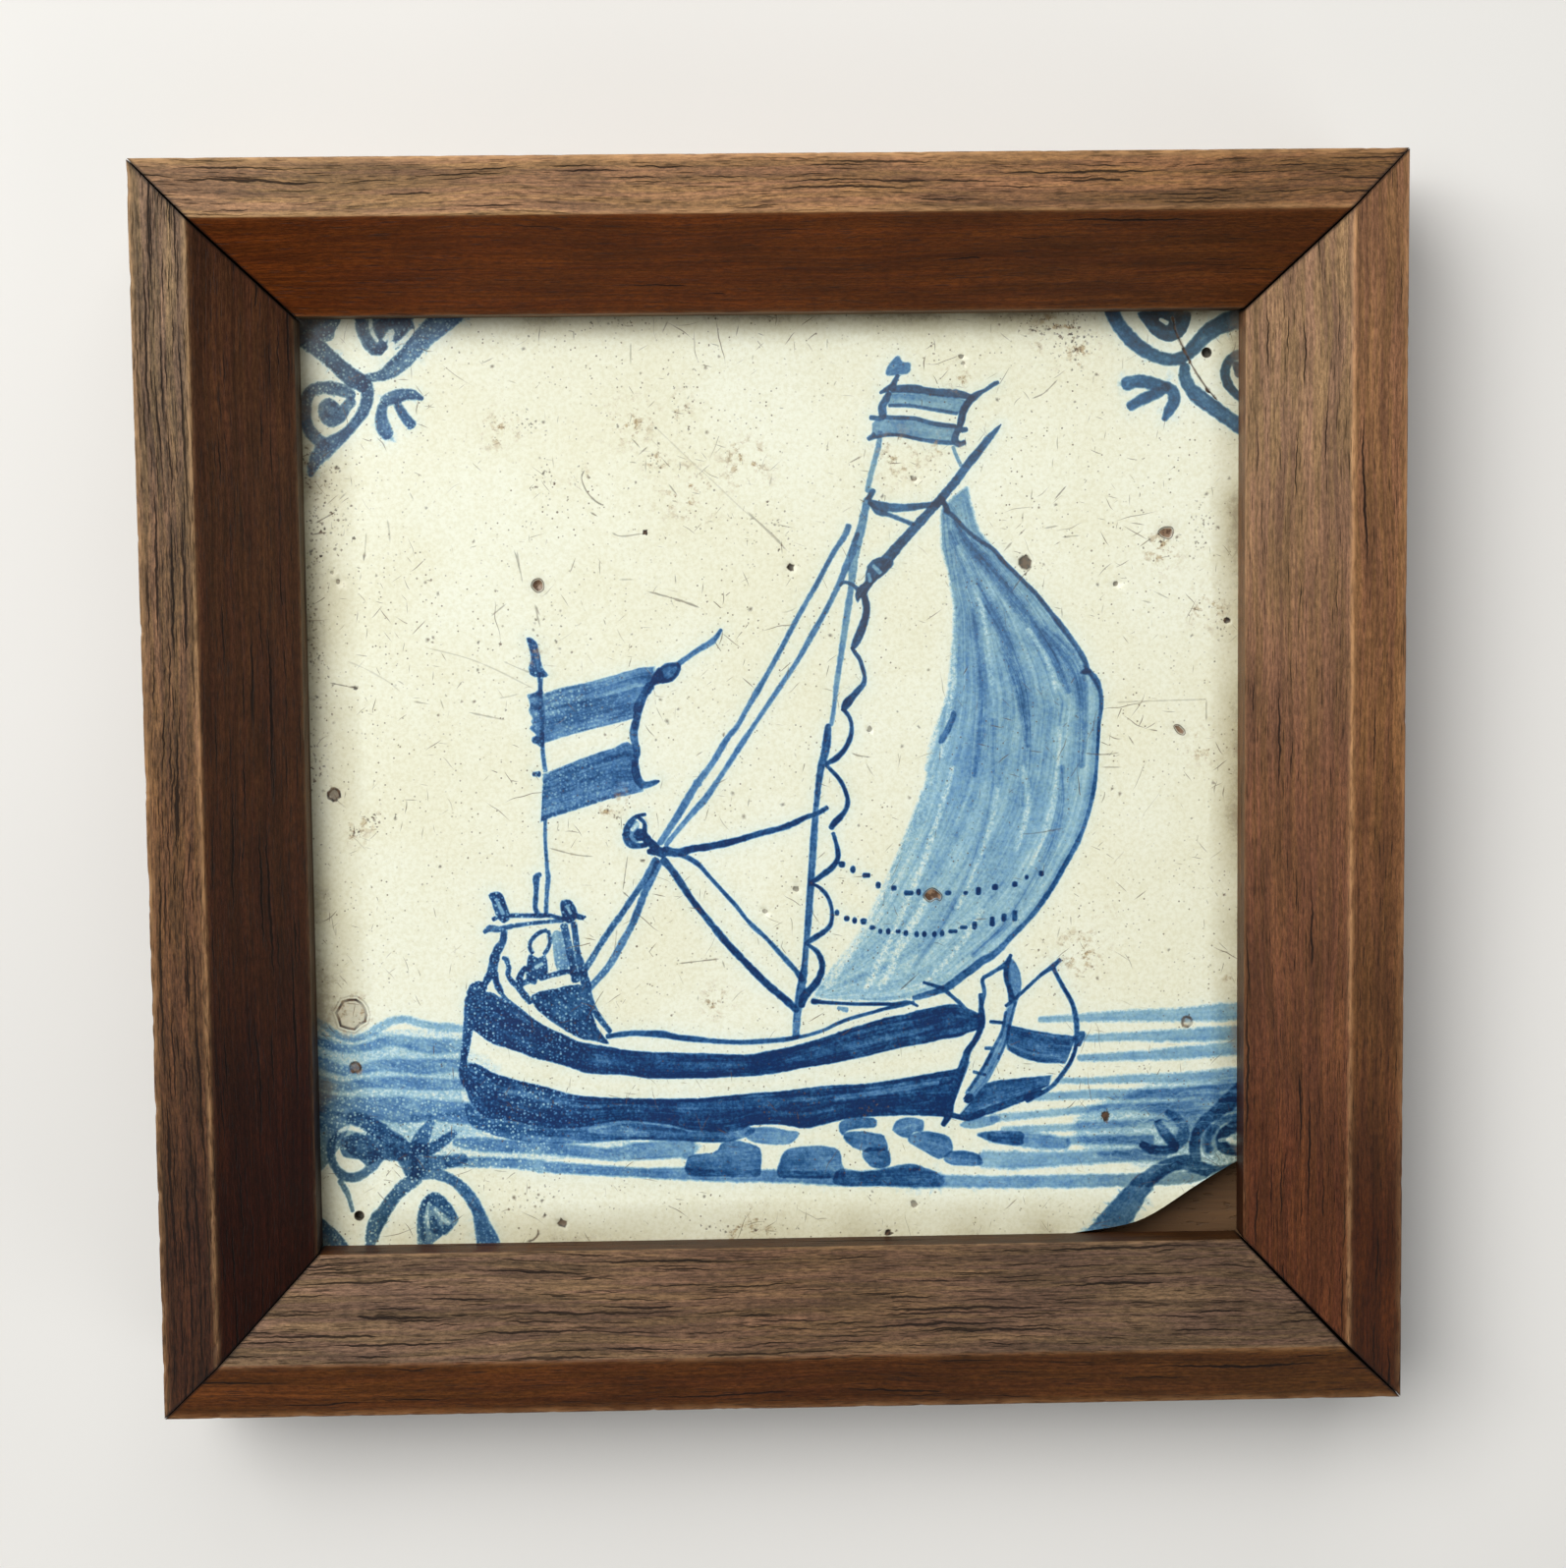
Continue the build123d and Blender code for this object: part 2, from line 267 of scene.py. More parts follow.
SAIL_STREAKS = [
    (0.34, [(972, 530, 4), (985, 552, 10), (1004, 574, 14), (1026, 602, 14), (1050, 634, 12),
        (1072, 668, 8), (1088, 704, 4)]),
    (0.26, [(968, 540, 4), (980, 570, 8), (1002, 610, 12), (1024, 650, 12), (1040, 700, 12), (1046, 760, 8),
        (1042, 820, 4)]),
    (0.3, [(1062, 640, 6), (1084, 664, 14), (1098, 690, 12), (1102, 730, 8), (1100, 780, 5)]),
    (0.3, [(962, 520, 5), (964, 550, 6), (970, 590, 4)]),
    (0.26, [(990, 620, 3), (996, 660, 8), (1000, 700, 10), (998, 745, 8), (992, 790, 4)]),
    (0.22, [(1020, 660, 4), (1034, 690, 10), (1042, 725, 8), (1046, 760, 3)]),
    (0.2, [(962, 720, 3), (952, 756, 10), (944, 784, 4)]),
    (0.22, [(1080, 780, 4), (1080, 820, 8), (1070, 860, 9), (1050, 900, 8), (1024, 940, 6), (990, 972, 4)]),
    (0.18, [(1010, 700, 4), (1012, 760, 6), (1006, 820, 7), (990, 880, 6), (960, 940, 5), (930, 985, 3)]),
    (-0.4, [(975, 556, 3), (984, 576, 5), (992, 596, 5), (999, 618, 5), (1004, 645, 3)]),
    (-0.3, [(1004, 645, 3), (1009, 690, 4), (1012, 730, 3)]),
    (-0.35, [(1046, 640, 3), (1062, 664, 5), (1070, 684, 5), (1076, 704, 3)]),
    (-0.3, [(968, 640, 3), (970, 690, 5), (964, 740, 5), (958, 770, 3)]),
    (-0.4, [(970, 780, 3), (962, 808, 5), (952, 840, 5), (940, 878, 6), (926, 912, 5), (908, 952, 5),
        (890, 990, 6), (880, 1008, 4)]),
    (-0.35, [(1041, 780, 3), (1046, 810, 5), (1043, 838, 5), (1034, 866, 3)]),
    (-0.4, [(948, 905, 4), (934, 930, 7), (918, 960, 8), (904, 990, 8), (896, 1006, 4)]),
    (-0.3, [(1016, 800, 3), (1008, 840, 4), (994, 880, 4), (974, 925, 4)]),
    (-0.3, [(1078, 740, 3), (1076, 790, 4), (1066, 840, 4), (1050, 880, 3)]),
    (-0.45, [(905, 890, 4), (892, 920, 6), (876, 950, 7), (858, 980, 7), (842, 1004, 6)]),
    (-0.35, [(1000, 925, 3), (982, 955, 5), (958, 984, 5), (938, 1004, 3)]),
]

STERN_FLAG = [
    (0.7, [(550, 686, 7), (550, 705, 5), (551, 720, 6), (552, 740, 6), (552, 755, 5), (553, 770, 5),
        (555, 785, 5)]),
    (0.7, [(555, 834, 4), (555, 855, 4), (556, 870, 4), (557, 885, 5), (558, 893, 6), (557, 905, 5),
        (556, 920, 5), (556, 931, 5)]),
    (0.85, [(662, 698, 10), (655, 708, 9), (650, 720, 10), (648, 732, 8), (645, 745, 9), (646, 755, 8),
        (648, 765, 8), (646, 780, 6), (648, 790, 8), (655, 799, 8), (668, 796, 5), (671, 795, 2)]),
    (0.65, [(690, 676, 6), (700, 669, 6), (710, 662, 6), (722, 655, 7), (728, 650, 6), (734, 641, 4)]),
    (0.85, [(670, 684, 3), (678, 677, 4), (690, 677, 4), (690, 684, 4), (683, 692, 4), (674, 694, 4)]),
    (0.5, [(538, 709, 5), (545, 707, 5), (551, 706, 4)]),
    (0.4, [(542, 718, 8), (548, 720, 10)]),
    (0.45, [(542, 735, 5), (549, 732, 6)]),
    (0.5, [(543, 753, 7), (551, 753, 8)]),
    (0.85, [(543, 788, 5), (549, 788, 6)]),
    (0.3, [(556, 722, 4), (590, 716, 4), (625, 709, 4), (650, 702, 5)]),
    (0.3, [(556, 736, 4), (600, 728, 4), (640, 718, 4)]),
]
STERN_GEAR = [
    (0.8, [(550, 890, 4), (546, 893, 7), (546, 905, 5), (545, 918, 5), (545, 925, 5), (548, 931, 5)]),
    (0.85, [(502, 936, 4), (507, 933, 4)]),
    (0.85, [(585, 932, 5), (593, 934, 5), (596, 933, 2)]),
    (0.85, [(519, 932, 5), (535, 932, 4.5), (550, 932, 5), (560, 932, 4), (572, 935, 4), (580, 937, 5)]),
    (0.75, [(493, 949, 4), (499, 945, 7), (508, 946, 6), (520, 943, 5), (540, 940, 4), (560, 938, 4),
        (573, 937, 4)]),
    (0.9, [(513, 948, 6), (512, 958, 7), (507, 966, 8), (503, 977, 9), (501, 988, 9), (496, 997, 7),
        (493, 1003, 5)]),
    (0.85, [(503, 993, 5), (506, 1002, 6), (510, 1010, 6)]),
    (0.85, [(512, 975, 4), (515, 976, 5), (518, 985, 5), (517, 992, 5), (521, 999, 5), (527, 1004, 6),
        (533, 1012, 7), (540, 1020, 6)]),
    (0.85, [(556, 947, 4), (548, 950, 4), (541, 957, 4), (539, 964, 4), (542, 970, 4)]),
    (0.85, [(558, 948, 4), (560, 957, 4), (558, 965, 4), (554, 971, 4)]),
    (0.85, [(535, 985, 5), (530, 992, 6), (528, 1000, 7)]),
    (0.8, [(530, 1002, 6), (540, 998, 6), (545, 1000, 5)]),
    (0.85, [(550, 996, 5), (560, 993, 5), (572, 990, 5), (580, 989, 5), (585, 992, 6)]),
    (0.85, [(574, 942, 7), (577, 955, 7), (580, 968, 7), (583, 982, 7), (586, 998, 8)]),
    (0.85, [(584, 940, 6), (586, 955, 6), (588, 970, 6), (592, 985, 8), (596, 1000, 9), (600, 1015, 7),
        (606, 1030, 6), (613, 1040, 6), (621, 1050, 5)]),
    (0.8, [(505, 990, 4), (507, 1003, 4), (514, 1016, 4), (529, 1028, 4), (544, 1040, 4), (560, 1049, 3)]),
]
HULL_LINES = [
    (0.75, [(618, 1055, 5), (640, 1052, 6), (655, 1052, 6), (675, 1053, 7), (690, 1056, 6), (710, 1058, 6),
        (730, 1060, 5), (755, 1061, 5), (775, 1060, 5), (800, 1058, 5), (815, 1055, 4)]),
    (0.9, [(480, 1012, 7), (478, 1020, 9), (477, 1035, 9), (476, 1050, 9), (474, 1065, 8), (472, 1080, 7),
        (472, 1092, 9), (474, 1104, 8)]),
    (0.9, [(998, 1012, 4), (999, 1030, 6), (1000, 1040, 6), (997, 1050, 6), (992, 1060, 6), (985, 1070, 7),
        (982, 1080, 8), (978, 1090, 8), (975, 1100, 7), (970, 1115, 6), (968, 1125, 6), (966, 1135, 7),
        (960, 1145, 5)]),
    (0.85, [(1024, 982, 7), (1015, 987, 4), (1007, 992, 4), (1000, 997, 4), (1002, 1010, 4), (999, 1025, 4),
        (998, 1040, 4)]),
    (0.35, [(490, 1040, 6), (530, 1058, 8), (570, 1072, 8), (620, 1082, 8), (680, 1086, 8),
        (740, 1086, 6)]),
    (0.35, [(690, 1125, 4), (740, 1124, 5), (800, 1122, 4)]),
    (0.35, [(650, 1137, 4), (700, 1138, 6), (750, 1136, 4)]),
    (0.3, [(820, 1075, 5), (880, 1062, 6), (940, 1049, 6), (985, 1040, 4)]),
    (0.3, [(850, 1128, 5), (900, 1125, 6), (950, 1118, 5)]),
]
LEEBOARD_LINES = [
    (0.9, [(1029, 972, 4), (1025, 982, 6), (1024, 995, 6), (1028, 1008, 6), (1030, 1018, 8)]),
    (0.85, [(1024, 1024, 4), (1035, 1015, 4), (1048, 1003, 4), (1060, 992, 4), (1070, 985, 6),
        (1079, 977, 5)]),
    (0.85, [(1071, 983, 5), (1077, 995, 5), (1083, 1006, 5), (1090, 1018, 5), (1094, 1030, 6),
        (1096, 1045, 6), (1095, 1065, 5), (1090, 1080, 5), (1080, 1095, 5), (1068, 1108, 5),
        (1045, 1120, 6)]),
    (0.8, [(1093, 1056, 4), (1102, 1052, 6), (1098, 1064, 5)]),
    (0.8, [(1008, 1040, 4), (1020, 1041, 4)]),
    (0.8, [(1003, 1067, 4), (1011, 1067, 4)]),
    (0.8, [(991, 1091, 4), (1003, 1094, 3)]),
    (0.95, [(968, 1135, 6), (985, 1138, 7), (1000, 1133, 8), (1020, 1126, 8), (1040, 1118, 8),
        (1060, 1111, 5)]),
    (0.6, [(1024, 1030, 3), (1020, 1050, 4), (1013, 1064, 4), (1005, 1080, 4), (996, 1095, 4),
        (986, 1110, 4)]),
    (0.55, [(1034, 1020, 3), (1028, 1042, 4), (1024, 1060, 4), (1016, 1078, 3)]),
    (0.95, [(985, 1117, 12), (987, 1119, 12)]),
    (0.3, [(1030, 1050, 5), (1060, 1057, 6), (1088, 1062, 5)]),
    (0.35, [(1028, 1068, 5), (1050, 1077, 5), (1078, 1080, 4)]),
]

WATER_LEFT = [
    (0.36, [(316, 1036, 8), (330, 1044, 7), (345, 1054, 6), (360, 1058, 6), (374, 1053, 7), (385, 1047, 9),
        (395, 1041, 8), (405, 1038, 7), (415, 1038, 7), (428, 1042, 8), (445, 1045, 8), (460, 1046, 8),
        (474, 1048, 6)]),
    (0.36, [(316, 1056, 8), (330, 1062, 8), (345, 1067, 8), (360, 1068, 8), (380, 1064, 9), (395, 1060, 10),
        (410, 1060, 11), (425, 1063, 13), (445, 1065, 14), (470, 1064, 12)]),
    (0.38, [(316, 1076, 10), (330, 1083, 11), (350, 1090, 10), (370, 1088, 10), (390, 1084, 11),
        (410, 1085, 13), (430, 1086, 15), (450, 1085, 14), (470, 1084, 11)]),
    (0.38, [(316, 1096, 11), (330, 1103, 12), (350, 1106, 10), (370, 1103, 10), (390, 1102, 11),
        (420, 1103, 12), (450, 1104, 11), (474, 1105, 10)]),
    (0.42, [(316, 1120, 20), (330, 1125, 22), (350, 1126, 18), (380, 1128, 20), (410, 1130, 24),
        (440, 1129, 18), (460, 1128, 14), (480, 1127, 10)]),
    (0.42, [(420, 1139, 8), (440, 1138, 8), (460, 1138, 9), (480, 1140, 10), (500, 1146, 10),
        (530, 1150, 10), (560, 1152, 10)]),
    (0.5, [(463, 1163, 8), (480, 1164, 12), (500, 1166, 13), (540, 1168, 12), (580, 1171, 12),
        (620, 1175, 12), (650, 1172, 16), (680, 1170, 18), (700, 1168, 20)]),
    (0.55, [(455, 1183, 10), (480, 1183, 10), (520, 1184, 10), (560, 1188, 11), (620, 1192, 10),
        (660, 1194, 10), (700, 1195, 12), (740, 1197, 12), (780, 1197, 12), (820, 1199, 12),
        (860, 1200, 14), (900, 1199, 16), (940, 1200, 18), (957, 1202, 12)]),
    (0.46, [(950, 1202, 12), (1000, 1203, 12), (1040, 1203, 12), (1110, 1202, 13), (1150, 1201, 12),
        (1200, 1199, 12), (1225, 1196, 10)]),
]
WATER_RIGHT = [
    (0.47, [(1058, 1038, 5), (1100, 1036, 8), (1150, 1034, 11), (1200, 1033, 13), (1235, 1031, 15),
        (1268, 1029, 16)]),
    (0.5, [(1104, 1057, 6), (1150, 1055, 9), (1200, 1054, 12), (1268, 1051, 14)]),
    (0.48, [(1098, 1077, 6), (1150, 1075, 9), (1200, 1072, 12), (1268, 1066, 14)]),
    (0.48, [(1075, 1100, 5), (1110, 1100, 6), (1150, 1098, 8), (1200, 1097, 10), (1268, 1093, 14)]),
    (0.52, [(1050, 1117, 7), (1110, 1114, 9), (1150, 1114, 10), (1200, 1112, 11), (1268, 1109, 16)]),
    (0.45, [(1010, 1138, 8), (1060, 1134, 7), (1110, 1129, 7), (1150, 1127, 8), (1200, 1128, 14),
        (1268, 1122, 18)]),
    (0.42, [(1020, 1150, 6), (1080, 1148, 7), (1110, 1146, 8), (1150, 1144, 9), (1200, 1142, 12),
        (1225, 1142, 12)]),
    (0.52, [(1088, 1161, 8), (1110, 1160, 8), (1150, 1160, 10), (1172, 1160, 10)]),
    (0.52, [(1000, 1180, 16), (1040, 1181, 16), (1110, 1178, 13), (1150, 1176, 12), (1185, 1176, 10)]),
    (0.3, [(1195, 1160, 10), (1210, 1150, 14), (1226, 1162, 10), (1232, 1150, 12)]),
    (0.66, [(1008, 1157, 10), (1040, 1160, 14), (1065, 1162, 14), (1086, 1164, 11)]),
]

# Filled shapes: the pigment, and the outline that it fills.
FILLS = [
    (0.62, [(538, 710), (544, 705), (553, 704), (554, 757), (546, 758), (541, 754), (545, 748), (539, 742),
        (543, 735), (541, 730), (538, 724), (539, 716)]),
    # This fill in the top left corner, under the rail, is painted shade: the frame's shadow drawn as dark
    # pigment.
    (0.72, [(300, 318), (345, 318), (340, 338), (325, 345), (308, 350), (300, 345)]),
    (0.55, [(901, 381), (903, 374), (907, 368), (914, 361), (919, 368), (927, 369), (927, 376), (924, 381),
        (912, 382), (906, 383)]),
    (0.43, [(903, 401), (940, 401), (965, 403), (985, 408), (984, 420), (974, 421), (950, 418), (925, 414),
        (905, 413)]),
    (0.44, [(889, 429), (903, 427), (930, 428), (950, 432), (972, 436), (975, 440), (972, 451), (950, 449),
        (930, 446), (915, 444), (900, 445), (888, 446)]),
    (0.9, [(898, 567), (890, 569), (884, 574), (881, 583), (880, 592), (873, 598), (870, 607), (873, 614),
        (876, 609), (881, 608), (885, 600), (891, 592), (900, 585), (910, 573)]),
    (0.6, [(970, 723), (974, 728), (970, 740), (965, 750), (960, 757), (955, 755), (962, 740)]),
    (0.95, [(1099, 685), (1103, 680), (1100, 675), (1105, 678), (1111, 682), (1108, 687)]),
    (0.8, [(1158, 318), (1166, 332), (1176, 343), (1190, 348), (1203, 343), (1210, 332), (1212, 318),
        (1198, 318), (1195, 326), (1187, 330), (1180, 326), (1177, 318)]),
    (0.55, [(323, 335), (332, 333), (341, 336), (338, 346), (328, 347)]),
    (0.3, [(1222, 1148), (1232, 1144), (1244, 1150), (1242, 1168), (1232, 1176), (1224, 1172)]),
    (0.85, [(536, 649), (546, 653), (550, 668), (553, 680), (558, 687), (552, 690), (541, 688), (538, 680),
        (540, 668)]),
    (0.95, [(663, 690), (671, 679), (677, 690), (680, 694), (668, 697), (661, 700)]),
    (0.5, [(671, 684), (678, 677), (690, 677), (690, 684), (683, 692), (674, 694)]),
    (0.95, [(497, 911), (503, 908), (509, 908), (513, 913), (516, 922), (519, 930), (519, 936), (513, 940),
        (507, 935), (503, 928), (500, 918)]),
    (0.95, [(570, 919), (574, 916), (580, 916), (585, 921), (588, 930), (585, 937), (578, 940),
        (572, 932)]),
    (0.95, [(475, 1010), (478, 1003), (484, 999), (490, 999), (496, 1003), (495, 1010), (490, 1016),
        (483, 1019), (477, 1016)]),
    (0.85, [(538, 972), (548, 975), (555, 972), (558, 985), (556, 993), (548, 997), (540, 1000),
        (535, 1000)]),
    (0.5, [(562, 950), (571, 948), (577, 965), (579, 985), (567, 987), (563, 970)]),
    (0.92, [(540, 1015), (545, 1011), (555, 1008), (565, 1006), (578, 1003), (588, 1002), (596, 1005),
        (600, 1015), (603, 1030), (608, 1045), (615, 1055), (620, 1063), (605, 1060), (590, 1057),
        (570, 1046), (556, 1036), (545, 1026)]),
    (0.65, [(1027, 973), (1036, 983), (1039, 993), (1040, 1003), (1038, 1013), (1033, 1025), (1028, 1012),
        (1025, 1000), (1022, 990), (1023, 980)]),
    (0.62, [(347, 1160), (356, 1156), (370, 1157), (382, 1164), (386, 1176), (376, 1181), (362, 1180),
        (350, 1178), (346, 1170)]),
    (0.8, [(350, 1162), (358, 1159), (364, 1166), (360, 1174), (352, 1172)]),
    (0.45, [(314, 1126), (340, 1130), (356, 1140), (350, 1160), (334, 1184), (316, 1196)]),
    (0.14, [(312, 1044), (340, 1058), (365, 1062), (390, 1050), (430, 1048), (474, 1056), (470, 1110),
        (478, 1128), (520, 1150), (640, 1160), (640, 1176), (460, 1180), (330, 1150), (310, 1130)]),
    (0.3, [(368, 1146), (400, 1150), (420, 1166), (420, 1180), (396, 1182), (376, 1172)]),
    (0.6, [(322, 1238), (335, 1246), (346, 1256), (355, 1272), (322, 1274)]),
    (0.55, [(540, 1150), (600, 1150), (640, 1143), (680, 1147), (700, 1152), (690, 1160), (640, 1160),
        (600, 1162), (570, 1158), (540, 1155)]),
    (0.66, [(700, 1178), (715, 1174), (728, 1172), (735, 1163), (745, 1160), (757, 1162), (770, 1166),
        (775, 1172), (775, 1190), (770, 1198), (735, 1198), (700, 1196)]),
    (0.45, [(700, 1154), (725, 1151), (750, 1153), (750, 1160), (725, 1163), (700, 1162)]),
    (0.5, [(757, 1155), (765, 1148), (785, 1147), (800, 1150), (813, 1152), (812, 1158), (803, 1165),
        (780, 1165), (765, 1162)]),
    (0.66, [(791, 1193), (793, 1183), (798, 1172), (808, 1168), (825, 1166), (845, 1167), (855, 1172),
        (857, 1182), (859, 1198), (825, 1200), (793, 1199)]),
    (0.64, [(853, 1145), (858, 1140), (870, 1137), (890, 1138), (893, 1143), (890, 1148), (875, 1149),
        (862, 1152), (857, 1156)]),
    (0.64, [(858, 1158), (862, 1152), (875, 1151), (890, 1153), (900, 1156), (904, 1170), (895, 1172),
        (880, 1172), (868, 1168)]),
    (0.64, [(877, 1175), (883, 1168), (895, 1168), (905, 1171), (907, 1180), (906, 1186), (898, 1190),
        (885, 1187)]),
    (0.64, [(908, 1150), (912, 1141), (922, 1137), (933, 1138), (940, 1141), (940, 1151), (930, 1153),
        (925, 1159), (915, 1156)]),
    (0.64, [(924, 1162), (928, 1155), (940, 1151), (955, 1153), (966, 1157), (970, 1165), (970, 1172),
        (962, 1178), (955, 1180), (940, 1172)]),
    (0.64, [(960, 1180), (965, 1172), (980, 1171), (995, 1174), (1000, 1180), (1000, 1186), (985, 1187),
        (968, 1186)]),
    (0.6, [(915, 1190), (922, 1185), (932, 1185), (938, 1190), (930, 1193)]),
    (0.66, [(994, 1156), (1000, 1152), (1015, 1151), (1040, 1152), (1042, 1160), (1040, 1166),
        (1015, 1164)]),
    (0.45, [(976, 1145), (985, 1140), (1003, 1136), (1018, 1136), (1015, 1143), (1000, 1148), (985, 1149)]),
    (0.6, [(473, 1122), (486, 1129), (510, 1136), (560, 1144), (600, 1144), (640, 1137), (680, 1141),
        (735, 1149), (762, 1146), (768, 1153), (740, 1163), (690, 1162), (640, 1161), (590, 1164),
        (540, 1163), (500, 1155), (478, 1144)]),
    (0.6, [(855, 1190), (880, 1192), (905, 1188), (925, 1184), (942, 1188), (957, 1196), (957, 1207),
        (900, 1208), (850, 1206)]),
    (0.5, [(668, 690), (672, 680), (683, 674), (692, 676), (689, 687), (679, 695)]),
    (0.6, [(352, 1160), (360, 1153), (375, 1152), (388, 1158), (392, 1168), (385, 1180), (374, 1187),
        (366, 1181), (358, 1177), (352, 1170)]),
    (0.5, [(430, 1264), (427, 1245), (428, 1230), (433, 1218), (441, 1213), (449, 1216), (457, 1224),
        (464, 1234), (467, 1242), (461, 1250), (452, 1257), (444, 1263), (438, 1268)]),
    (0.85, [(1174, 312), (1202, 312), (1202, 328), (1193, 336), (1182, 336), (1174, 328)]),
    (0.7, [(364, 316), (365, 334), (369, 346), (378, 357), (386, 362), (392, 358), (397, 350), (405, 346),
        (413, 338), (418, 330), (419, 316)]),
    (0.64, [(331, 412), (340, 408), (346, 413), (342, 422), (333, 425), (329, 419)]),
]

# Places where the pigment is thin or left out: how much of it is gone, as a number below nought.
WIPES = [
    (-0.5, [(437, 1224, 3), (434, 1236, 4), (437, 1250, 3)]),
    (-0.5, [(443, 1231, 3), (449, 1239, 4), (457, 1246, 5)]),
    (-0.85, [(1181, 325, 5), (1188, 329, 6)]),
    (-0.8, [(1193, 323, 4), (1195, 328, 4)]),
    (-0.75, [(377, 322, 4), (378, 336, 5), (384, 347, 4)]),
    (-0.8, [(391, 346, 5), (399, 337, 6), (396, 351, 5)]),
    (-0.85, [(397, 356, 5), (410, 347, 6), (420, 336, 5)]),
    (-0.5, [(889, 576, 4), (896, 583, 5)]),
    (-0.45, [(884, 584, 4), (886, 592, 4)]),
    (-0.5, [(505, 915, 3), (512, 930, 5)]),
    (-0.5, [(577, 922, 4), (581, 930, 3)]),
    (-0.6, [(545, 985, 4), (552, 981, 4)]),
    (-0.6, [(643, 845, 4), (650, 838, 4)]),
    (-0.22, [(508, 1116, 8), (532, 1118, 18), (560, 1126, 8)]),
    (-0.13, [(690, 1127, 5), (760, 1123, 9), (830, 1118, 5)]),
    (-0.28, [(850, 1118, 4), (900, 1111, 7), (955, 1102, 4)]),
    (-0.1, [(590, 1078, 5), (680, 1085, 9), (760, 1084, 5)]),
    (-0.25, [(600, 1150, 6), (630, 1151, 12), (660, 1155, 6)]),
    (-0.2, [(800, 1080, 5), (870, 1064, 8), (950, 1046, 5)]),
    (-0.7, [(345, 1152, 4), (356, 1148, 6), (372, 1154, 4)]),
    (-0.6, [(1241, 1161, 4), (1250, 1160, 6), (1258, 1163, 4)]),
]

# Broad bands between two edges, painted along their length: pigment, one edge, the other edge.
BANDS = [
    (0.64, [(553, 706), (575, 699), (600, 694), (625, 687), (650, 680), (668, 678)], [(553, 757),
        (575, 750), (600, 743), (625, 737), (640, 733), (652, 728)]),
    (0.76, [(552, 788), (575, 779), (600, 769), (625, 761), (638, 755), (648, 762)], [(549, 838),
        (560, 833), (575, 828), (600, 820), (620, 814), (655, 806)]),
    (0.98, [(482, 1016), (490, 1010), (500, 1010), (510, 1015), (520, 1022), (535, 1032), (550, 1042),
        (575, 1053), (590, 1060), (618, 1065), (640, 1069), (680, 1071), (720, 1072), (760, 1073),
        (780, 1070), (800, 1066), (820, 1061), (840, 1055), (860, 1048), (880, 1042), (900, 1036),
        (920, 1032), (940, 1027), (960, 1023), (972, 1022), (985, 1026), (998, 1032)], [(480, 1048),
        (490, 1055), (500, 1062), (515, 1067), (530, 1072), (545, 1078), (560, 1081), (580, 1087),
        (600, 1093), (640, 1095), (660, 1098), (710, 1098), (735, 1097), (775, 1095), (800, 1091),
        (820, 1087), (840, 1084), (860, 1080), (880, 1076), (900, 1071), (920, 1066), (940, 1063),
        (960, 1058), (975, 1056), (985, 1052), (1003, 1046)]),
    (0.97, [(476, 1082), (487, 1083), (500, 1091), (515, 1096), (530, 1100), (555, 1106), (585, 1114),
        (620, 1117), (680, 1118), (720, 1117), (760, 1113), (800, 1110), (840, 1105), (880, 1103),
        (920, 1097), (960, 1090), (975, 1087), (988, 1080)], [(472, 1104), (478, 1120), (487, 1132),
        (495, 1138), (510, 1140), (530, 1143), (560, 1149), (590, 1148), (620, 1143), (640, 1141),
        (680, 1145), (700, 1150), (735, 1153), (755, 1150), (765, 1146), (785, 1145), (800, 1146),
        (820, 1149), (835, 1146), (850, 1142), (870, 1138), (910, 1136), (945, 1136), (966, 1138)]),
    (0.55, [(1022, 1030), (1018, 1050), (1012, 1062), (1005, 1075), (997, 1090), (988, 1103),
        (981, 1113)], [(1036, 1012), (1033, 1025), (1030, 1040), (1027, 1055), (1022, 1070), (1015, 1085),
        (1008, 1098), (1000, 1110), (990, 1120)]),
    (0.78, [(1024, 1042), (1040, 1046), (1060, 1050), (1096, 1055)], [(1024, 1068), (1040, 1077),
        (1060, 1082), (1085, 1083)]),
    (0.8, [(1003, 1103), (1012, 1100), (1040, 1097), (1072, 1094)], [(975, 1136), (990, 1137), (1005, 1132),
        (1020, 1126), (1040, 1118), (1068, 1106)]),
]

# Rows of reef points: centre, width and height of each dab.
REEF_POINTS = [
    (857, 880, 5, 7), (868, 885, 7, 6), (882, 891, 8, 4), (894, 901, 6, 5), (910, 904, 6, 4),
    (925, 909, 9, 4), (935, 908, 6, 5), (965, 909, 5, 6), (983, 909, 4, 5), (996, 907, 4, 8),
    (1013, 903, 5, 7), (1033, 900, 4, 6), (1045, 893, 4, 4), (1060, 889, 4, 6), (852, 929, 5, 5),
    (862, 935, 6, 4), (870, 937, 5, 5), (879, 938, 5, 7), (888, 944, 5, 6), (896, 948, 5, 4),
    (904, 948, 5, 5), (914, 948, 5, 3), (922, 950, 5, 5), (933, 951, 5, 5), (941, 951, 5, 5),
    (951, 951, 5, 5), (959, 950, 5, 5), (970, 948, 8, 3), (981, 944, 7, 3), (992, 942, 4, 8),
    (1010, 938, 4, 9), (1022, 934, 4, 8), (1033, 932, 4, 10),
]

